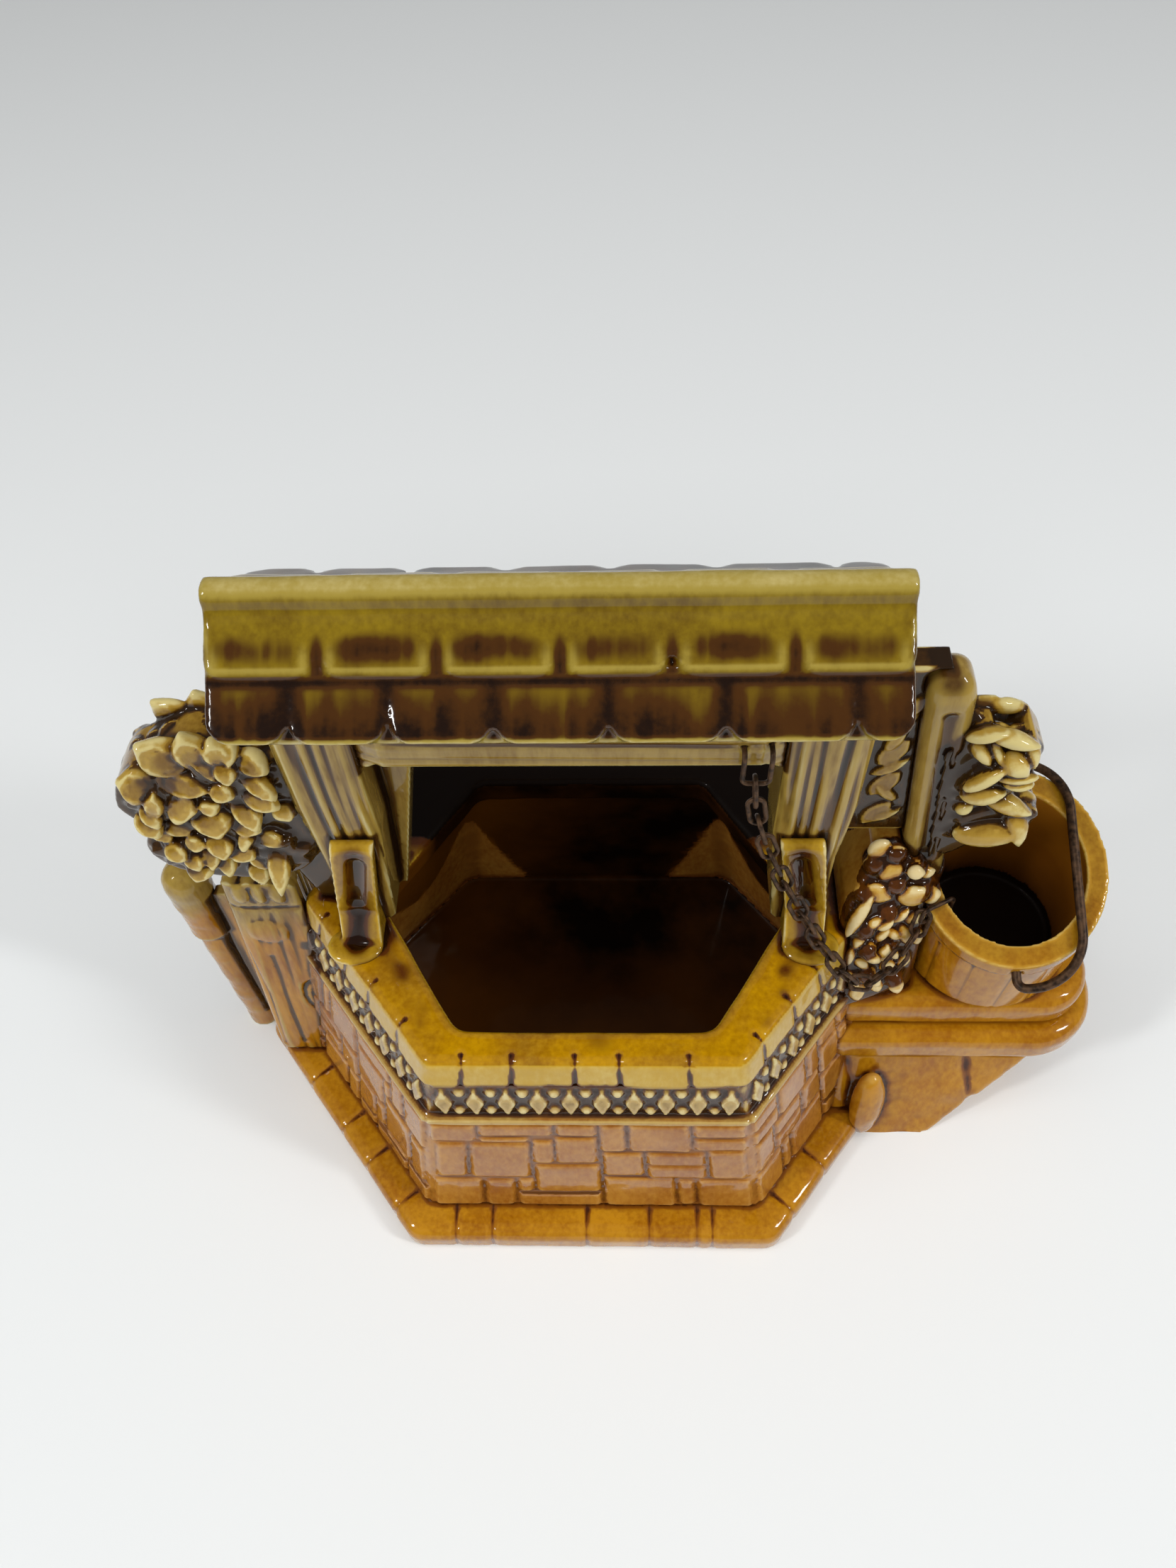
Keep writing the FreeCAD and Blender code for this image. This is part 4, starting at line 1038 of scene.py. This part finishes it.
def bucket_inside(co, out, pool, edge):
    inner = in_bucket(co, out)
    rim = bucket_rim(co)
    # Painted shade in the hollow: darker with depth below the lip, more slowly on the lit far wall, and dark
    # at the floor.
    lit_far_side = unit((co[:, 0] - BUCKET_X + co[:, 1] - BUCKET_Y) / 16 + 0.5)
    depth = unit((rim - co[:, 2]) / (14 + 22 * lit_far_side)) + (co[:, 2] < 54)
    lip = unit((co[:, 2] - rim + 2.5) / 2)
    return np.where(inner, depth, pool), np.where(inner, 0, edge * (0.3 + 0.9 * lip))


finish_skin(
    bucket_skin, ["bucket"], 0.45, 70000, glaze_bucket,
    bucket_inside, [(glaze_hollow_shade, in_bucket)],
)

# %% [markdown]
# ## A petal and a bud
# Bush, leaves and berries are built of two blanks. A flattened ball is pinched at
# one end; for the petal its top is pressed down as well, so the glaze will gather
# in the middle and leave a pale rim. They are copied at many sizes, and most are
# set against the mass where a line from the front first meets it.

# %% Petal and leaf blanks
def pick(piece, test):
    bpy.ops.object.mode_set(mode="EDIT")
    bpy.ops.mesh.select_mode(type="VERT")
    bpy.ops.mesh.select_all(action="DESELECT")
    bpy.ops.object.mode_set(mode="OBJECT")
    for vertex in piece.data.vertices:
        vertex.select = test(vertex.co)
    bpy.ops.object.mode_set(mode="EDIT")


def make_petal(name, pinch, dish):
    clear_selection()
    bpy.ops.mesh.primitive_uv_sphere_add(segments=20, ring_count=14, radius=0.5, location=(0, 0, 0))
    petal = bpy.context.object
    petal.name = name
    for limit, squeeze in ((0.12, 0.90), (0.24, 0.80), (0.34, 0.66), (0.42, pinch)):
        pick(petal, lambda p: p.y > limit)
        bpy.ops.transform.resize(value=(squeeze, 1, 1))
    pick(petal, lambda p: p.z > 0 and math.hypot(p.x / 0.30, p.y / 0.36) < 1)
    bpy.ops.transform.translate(value=(0, 0, -dish))
    pick(petal, lambda p: p.z > -0.2 and math.hypot(p.x / 0.16, p.y / 0.22) < 1)
    bpy.ops.transform.translate(value=(0, 0, -dish * 0.4))
    bpy.ops.object.mode_set(mode="OBJECT")
    return petal


def ground_of(piece):
    """The surface of a piece before its petals are laid on."""
    places = [tuple(v.co) for v in piece.data.vertices]
    return BVHTree.FromPolygons(places, [tuple(p.vertices) for p in piece.data.polygons])


def front_at(ground, x, z, y):
    """Where a line from the front first meets the piece at x and z, or y where it misses."""
    spot = ground.ray_cast((x * MM, -0.1, z * MM), (0, 1, 0))[0]
    return spot.y / MM if spot else y


def leaf_ground(ground, depth, strength=0.8):
    """Shades the skin near its old surface as if it lay deep in glaze, and tips pale."""
    def shade(co, out, pool, edge):
        height = np.array([ground.find_nearest(tuple(p))[3] for p in co * MM]) / MM
        sunk = strength * bell(height, depth) * (np.abs(out[:, 1]) > 0.1)
        tip = np.clip(height / (3.2 * depth) - 0.6, 0, 0.3)
        return unit(pool * 1.2 + sunk), unit(edge * 1.1 + tip * (pool < 0.2))
    return shade


petal_blank = make_petal("petal_blank", 0.62, 0.10)
bud_blank = make_petal("bud_blank", 0.85, 0.0)


def petal_at(blank, x, y, z, turn, length, width, thick, tip_out=0.25, face=(0.0, -1.0, 0.35)):
    """A petal whose tip points along turn, in degrees from +X towards +Z, on a face."""
    out = Vector(face).normalized()
    aim = Vector((math.cos(math.radians(turn)), 0, math.sin(math.radians(turn)))) + out * tip_out
    up = (aim - out * aim.dot(out) * 0.55).normalized()
    right = up.cross(out).normalized()
    return stamp(blank, (x, y, z), right, up, right.cross(up), (width, length, thick))


def front_petals(blank, ground, spots, grow, widen, thick, proud, tip_out, miss=None, face=(0.0, -1.0, 0.35)):
    """Petals on the front of a mass. One off the mass lies at miss, or is left out."""
    parts = []
    for x, z, turn, length, width in spots:
        y = front_at(ground, x, z, miss)
        if y is not None:
            spot = (x, y - proud, z)
            parts.append(petal_at(blank, *spot, turn, length * grow, width * widen, thick, tip_out, face))
    return parts


def back_petals(spots, y, widen, thick):
    parts = []
    for x, z, turn, length, width in spots:
        parts.append(petal_at(petal_blank, x, y, z, turn, length, width * widen, thick, face=(0, 1, 0.2)))
    return parts


def edge_petals(outline, middle, length, width, thick, y=1.5):
    """Plump lobes round an outline of X and Z points, which hide the flat edge of the mass."""
    parts = []
    for i, (x, z) in enumerate(outline):
        ahead, behind = outline[(i + 1) % len(outline)], outline[i - 1]
        out = Vector((x - middle[0], 0, z - middle[1])).normalized()
        turn = math.degrees(math.atan2(ahead[1] - behind[1], ahead[0] - behind[0])) + 35 * math.sin(2.3 * i)
        spot = (x - out.x * thick / 2, y, z - out.z * thick / 2)
        parts.append(petal_at(petal_blank, *spot, turn, length, width, thick, 0.1, (out.x, -0.6, out.z)))
    return parts


# %% [markdown]
# ## Flowering bush on the left
# A lobed mass of petals and small leaves leans against the left post. Each group
# below is one petal: its X and Z, the way its tip points, its length and width.
# A ring of plump lobes round the outline hides the flat edge of the mass.

# %% Flower bush
BUSH = [
    (-71.7, 125.5, 136, 9.1, 7.5), (-65.5, 127.0, 102, 9.2, 6.3), (-61.0, 127.5, 106, 6.0, 4.9),
    (-78.4, 118.4, 158, 6.2, 7.7), (-76.1, 114.2, 74, 6.6, 3.1), (-69.6, 118.8, 347, 9.8, 5.4),
    (-64.4, 124.7, 287, 8.2, 3.6), (-60.6, 123.0, 276, 4.5, 3.5), (-59.0, 127.0, 258, 4.9, 2.2),
    (-62.5, 118.0, 321, 4.1, 4.2), (-66.1, 113.3, 24, 3.9, 3.1), (-71.3, 113.1, 334, 4.9, 7.4),
    (-67.5, 107.9, 280, 7.3, 6.8), (-55.8, 124.2, 317, 5.8, 4.4), (-55.9, 119.3, 310, 7.7, 3.4),
    (-56.6, 114.8, 326, 6.7, 4.3), (-60.2, 110.8, 289, 8.0, 4.3), (-54.0, 108.9, 292, 4.1, 4.4),
    (-61.9, 105.6, 328, 5.4, 4.1), (-74.6, 104.6, 299, 4.6, 6.2), (-79.4, 107.1, 297, 5.8, 4.4),
    (-68.1, 100.2, 278, 5.9, 4.5), (-62.7, 102.2, 346, 2.5, 4.8), (-72.5, 100.8, 360, 4.2, 3.5),
    (-78.8, 102.3, 298, 4.6, 4.2), (-77.2, 97.9, 307, 4.5, 4.0), (-74.8, 94.6, 283, 4.7, 3.6),
    (-71.4, 95.5, 264, 7.6, 3.2), (-69.8, 91.4, 273, 6.9, 3.5), (-64.5, 97.8, 315, 5.1, 5.2),
    (-62.9, 92.9, 294, 5.1, 3.4), (-58.7, 100.4, 332, 6.4, 3.6), (-58.8, 92.8, 265, 13.6, 3.8),
    (-77.9, 110.3, 289, 5.3, 3.2), (-64.2, 87.4, 280, 5.4, 4.0), (-75.6, 89.6, 250, 5.6, 4.6),
]
BUSH_EDGE = [
    (-84.5, 110), (-83.0, 114), (-82.0, 117.5), (-79, 121.8), (-74, 124.8), (-69, 127), (-64, 128),
    (-60.5, 124.5), (-56, 123), (-51.9, 122.7), (-49, 112), (-51, 100), (-55, 88), (-66, 84), (-75.6, 85),
    (-80, 86.6), (-84.8, 95.4), (-82.6, 102),
]
bush_skin = merged_copy("flower_cluster", "flower_bush")
melt(bush_skin, 0.5, 12)
ground = ground_of(bush_skin)
bush_parts = edge_petals(BUSH_EDGE, (-67.5, 106), 9.5, 7.5, 5.0)
bush_parts += front_petals(petal_blank, ground, BUSH, 1.15, 1.25, 4.6, 0.4, 0.45, miss=-3.4)
bush_parts += back_petals(BUSH, 6.4, 1.2, 3.4)
lay_on(bush_skin, bush_parts)
melt(bush_skin, 0.36, 1)
finish_skin(bush_skin, ["flower_bush"], 0.36, 120000, glaze_leaf, leaf_ground(ground, 0.85))

# %% [markdown]
# ## Stump and fence post
# Under the bush stands a stump with a scalloped top, a tied band and a ring of
# grain round a knot, and beside it a post with a swollen cap. The stump's marks are
# low bumps and pressed-in strokes.

# %% Stump and post
def oval(x, z, width, height, y=-7.6, turns=14):
    angles = [k * 2 * math.pi / turns for k in range(turns + 1)]
    return [(x + width * math.cos(a), y, z + height * math.sin(a)) for a in angles]


stump_skin = merged_copy("scalloped_stump", "tree_stump")
bumps = [(x, -7.0, 74.2, 3.7, 6.6, 3.0) for x in (-72.6, -68.6, -64.6)]
bumps += [(-69.8, -7.0, 60.4, 10.5, 9.5, 2.6)]
axes = ((1, 0, 0), (0, 0, 1), (0, -1, 0))
lay_on(stump_skin, [stamp(pellet_blank, spot[:3], *axes, spot[3:]) for spot in bumps])
melt(stump_skin, 0.42, 3)
strokes = [([(-77.5, -6.6, 69.6), (-72.0, -7.6, 69.0), (-60.0, -7.6, 69.4)], 1.4, 0.6)]
strokes += [(oval(-64.5, 33.0, 3.0, 6.5), 1.4, 0.6), (oval(-64.5, 33.0, 1.1, 3.4), 1.0, 0.3)]
strokes += [([(-77.3, -6.0, 54.0), (-76.0, -7.4, 34.0), (-77.5, -6.8, 10.0)], 1.3, 0.5)]
strokes += [([(-71.5, -7.6, 50.0), (-71.0, -7.6, 40.0), (-71.8, -7.6, 12.0)], 2.0, 0.3)]
carve(stump_skin, strokes)
grain(stump_skin, (1, 1, 0), 0.04, 3.4, 0.14, 21)
co, out = points_of(stump_skin)
co[:, 1] += 6.5 * unit((co[:, 2] - 8) / 68) * unit((7.5 - co[:, 1]) / 15)
move_points(stump_skin, co)
finish_skin(stump_skin, ["tree_stump"], 0.42, 60000, glaze_wood)
post_skin = merged_copy("capped_post", "fence_post")
melt(post_skin, 0.45, 4)
unevenness(post_skin, 8, 0.9)
finish_skin(post_skin, ["fence_post"], 0.45, 30000, glaze_wood)

# %% [markdown]
# ## Log on the right
# A tall log with a flute down its front stands beside the portal. Its top is drawn
# in to a dome.

# %% Right log
log_skin = merged_copy("tall_log", "right_log")
melt(log_skin, 0.42, 16)
co, out = points_of(log_skin)
top = co[:, 2].max()
crown = co[:, 2] > top - 5.5
middle = co[crown].mean(axis=0)
pinch = np.sqrt(1 - 0.8 * unit((co[:, 2] - top + 5.5) / 5.5) ** 2)
co[:, :2] = np.where(crown[:, None], middle[:2] + (co[:, :2] - middle[:2]) * pinch[:, None], co[:, :2])
move_points(log_skin, co)
stripe = [(67.0, -2.0, 88.0), (64.6, -2.0, 112.0), (62.9, -2.0, 129.0)]
carve(log_skin, [(stripe, 5.5, 0.35)])


def log_stripe(co, out, pool, edge):
    sunk = 0.55 * bell(distance_to(stripe, co), 2.6) * (out[:, 1] < 0)
    cap = 0.45 * bell(np.linalg.norm(co - np.array((62.0, 1.0, 138.0)), axis=1), 3.0)
    return unit(pool * 0.7 + sunk + cap), edge * (1 - sunk)


finish_skin(log_skin, ["right_log"], 0.42, 40000, glaze_wood, log_stripe)

# %% [markdown]
# ## Leaf panel and spray
# Leaves fill the gap between post and log, and a spray of them reaches out over the
# bucket. Both masses are plain solids with petals set on them.

# %% Leaf panel and spray
PANEL = [
    (56.2, 3.2, 112.5, 40, 8, 2.6), (56.6, 3.2, 104.5, 130, 7, 2.4), (57.6, 3.2, 97.0, 35, 7, 2.2),
    (55.8, 3.2, 121.0, 70, 8, 2.6), (57.5, 3.2, 130.0, 60, 8, 3),
]
panel_parts = [petal_at(petal_blank, *spot, 2.2, face=(0, -1, 0.2)) for spot in PANEL]
panel_skin = merged_copy("leaf_relief", "leaf_panel")
lay_on(panel_skin, panel_parts)
melt(panel_skin, 0.38, 1)


def panel_ground(co, out, pool, edge):
    return unit(pool + 0.75 * (co[:, 1] > 3.0) * (edge < 0.3)), edge


finish_skin(panel_skin, ["leaf_panel"], 0.38, 30000, glaze_leaf, panel_ground)
SPRAY = [
    (71.5, 116.9, 51, 9.7, 3.4), (69.4, 126.4, 17, 6.8, 3.0), (74.2, 125.6, 345, 8.9, 3.6),
    (78.2, 121.6, 285, 7.0, 3.2), (76.4, 116.4, 359, 7.8, 3.2), (69.6, 121.7, 303, 6.6, 3.4),
    (75.6, 120.0, 320, 6.1, 5.0), (72.4, 121.5, 295, 7.7, 2.2), (77.6, 114.0, 359, 5.4, 3.0),
    (72.2, 111.0, 8, 7.6, 5.2), (78.0, 105.8, 335, 9.7, 4.4), (80.6, 100.4, 285, 8.8, 5.0),
    (76.2, 98.7, 11, 12.4, 6.6), (70.5, 105.3, 53, 4.0, 3.2),
]
SPRAY_EDGE = [
    (83.4, 98), (84.0, 101.5), (79.5, 104.8), (77, 109.5), (79.5, 115), (80.0, 120.8), (77.0, 124.4),
    (72.5, 125.0), (68, 126.2),
]
spray_skin = merged_copy("leaf_fan", "leaf_spray")
melt(spray_skin, 0.5, 12)
ground = ground_of(spray_skin)
spray_parts = edge_petals(SPRAY_EDGE, (70, 108), 8.0, 4.4, 4.0, 2.5)
spray_parts += front_petals(bud_blank, ground, SPRAY, 1.1, 0.95, 4.4, 0.3, 0.3, miss=-0.6)
spray_parts += back_petals(SPRAY, 6.5, 1.0, 3.0)
lay_on(spray_skin, spray_parts)
melt(spray_skin, 0.36, 1)
finish_skin(spray_skin, ["leaf_spray"], 0.36, 70000, glaze_leaf, leaf_ground(ground, 0.8))

# %% [markdown]
# ## Berries and vine
# A vine of buds and berries runs down to the ledge. Berries that would hang in the
# air beside the mass are left out.

# %% Berries and vine
BERRIES = [
    (73.1, 86.0, 334, 4.1, 2.4), (68.7, 86.3, 9, 3.4, 2.6), (65.0, 86.0, 357, 3.4, 2.7),
    (67.8, 83.3, 9, 3.2, 2.4), (72.0, 81.3, 350, 5.0, 4.6), (58.1, 88.6, 325, 5.2, 4.2),
    (60.6, 84.6, 340, 5.2, 4.8), (65.3, 79.4, 44, 5.6, 5.4), (69.6, 77.4, 9, 3.8, 4.0),
    (58.3, 80.8, 327, 6.1, 3.8), (54.6, 76.0, 250, 12.1, 2.4), (57.7, 74.2, 52, 5.6, 1.9),
    (60.4, 74.6, 53, 4.2, 1.9), (63.4, 73.8, 40, 4.6, 2.6), (67.2, 71.8, 30, 4.6, 3.2),
    (60.3, 69.0, 53, 4.5, 2.2), (62.9, 68.4, 307, 4.8, 2.0), (65.6, 67.0, 291, 7.2, 2.4),
    (61.6, 64.4, 80, 4.6, 3.0), (68.4, 65.2, 280, 5.0, 2.6), (63.0, 58.6, 346, 3.8, 3.0),
    (66.8, 58.4, 76, 5.1, 2.6), (58.7, 65.6, 324, 4.4, 2.0), (57.2, 61.6, 305, 5.0, 2.0),
    (56.0, 57.0, 296, 5.6, 2.0), (60.2, 57.6, 305, 4.6, 2.4), (64.0, 61.8, 296, 4.3, 1.8),
    (55.6, 69.8, 250, 5.4, 2.0), (54.2, 64.6, 262, 5.6, 1.8), (57.4, 52.0, 277, 6.0, 3.2),
    (61.6, 52.4, 285, 5.0, 2.8), (65.8, 52.8, 280, 4.6, 2.8),
]
vine_skin = merged_copy("berry_cluster", "berry_vine")
melt(vine_skin, 0.45, 24)
ground = ground_of(vine_skin)
vine_parts = front_petals(bud_blank, ground, BERRIES, 1.1, 1.25, 2.6, 0.1, 0.1, face=(0.25, -1.0, 0.3))
lay_on(vine_skin, vine_parts)
melt(vine_skin, 0.36, 1)
finish_skin(vine_skin, ["berry_vine"], 0.36, 90000, glaze_vine, leaf_ground(ground, 0.4, 0.7))

# %% [markdown]
# ## Wire
# The chain, its staple and ring, and the bail are dark bronzed iron wire, dull
# with age and browner where it has rusted. Their solids have the right shape and
# keep it, so only the finish is new.

# %% Bronzed wire
def make_wire_finish():
    material, tree = new_material("bronzed_wire")
    place = place_in(tree)
    patches = mottle(tree, place, 700.0, 1.0, 3.0)
    feed(tree, tree.nodes["Principled BSDF"], {
        "Base Color": ramp(tree, patches, [(0.35, "2e231c"), (0.65, "6b503a")]),
        "Roughness": ramp(tree, patches, [(0.3, (0.38, 0.38, 0.38, 1)), (0.7, (0.6, 0.6, 0.6, 1))]),
        "Metallic": 0.7, "Normal": fine_bumps(tree, place, 1800.0, 0.3, 0.0001),
    })
    return material


wire_finish = make_wire_finish()
for node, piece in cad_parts.items():
    if node not in FIRED:
        for slot in piece.material_slots:
            slot.material = wire_finish
        if not piece.material_slots:
            piece.data.materials.append(wire_finish)
print("wire pieces:", len(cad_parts) - len(FIRED))

# %% [markdown]
# ## Close
# The blanks go.

# %% Close
for blank in (block_blank, lozenge_blank, pellet_blank, petal_blank, bud_blank):
    bpy.data.objects.remove(blank)
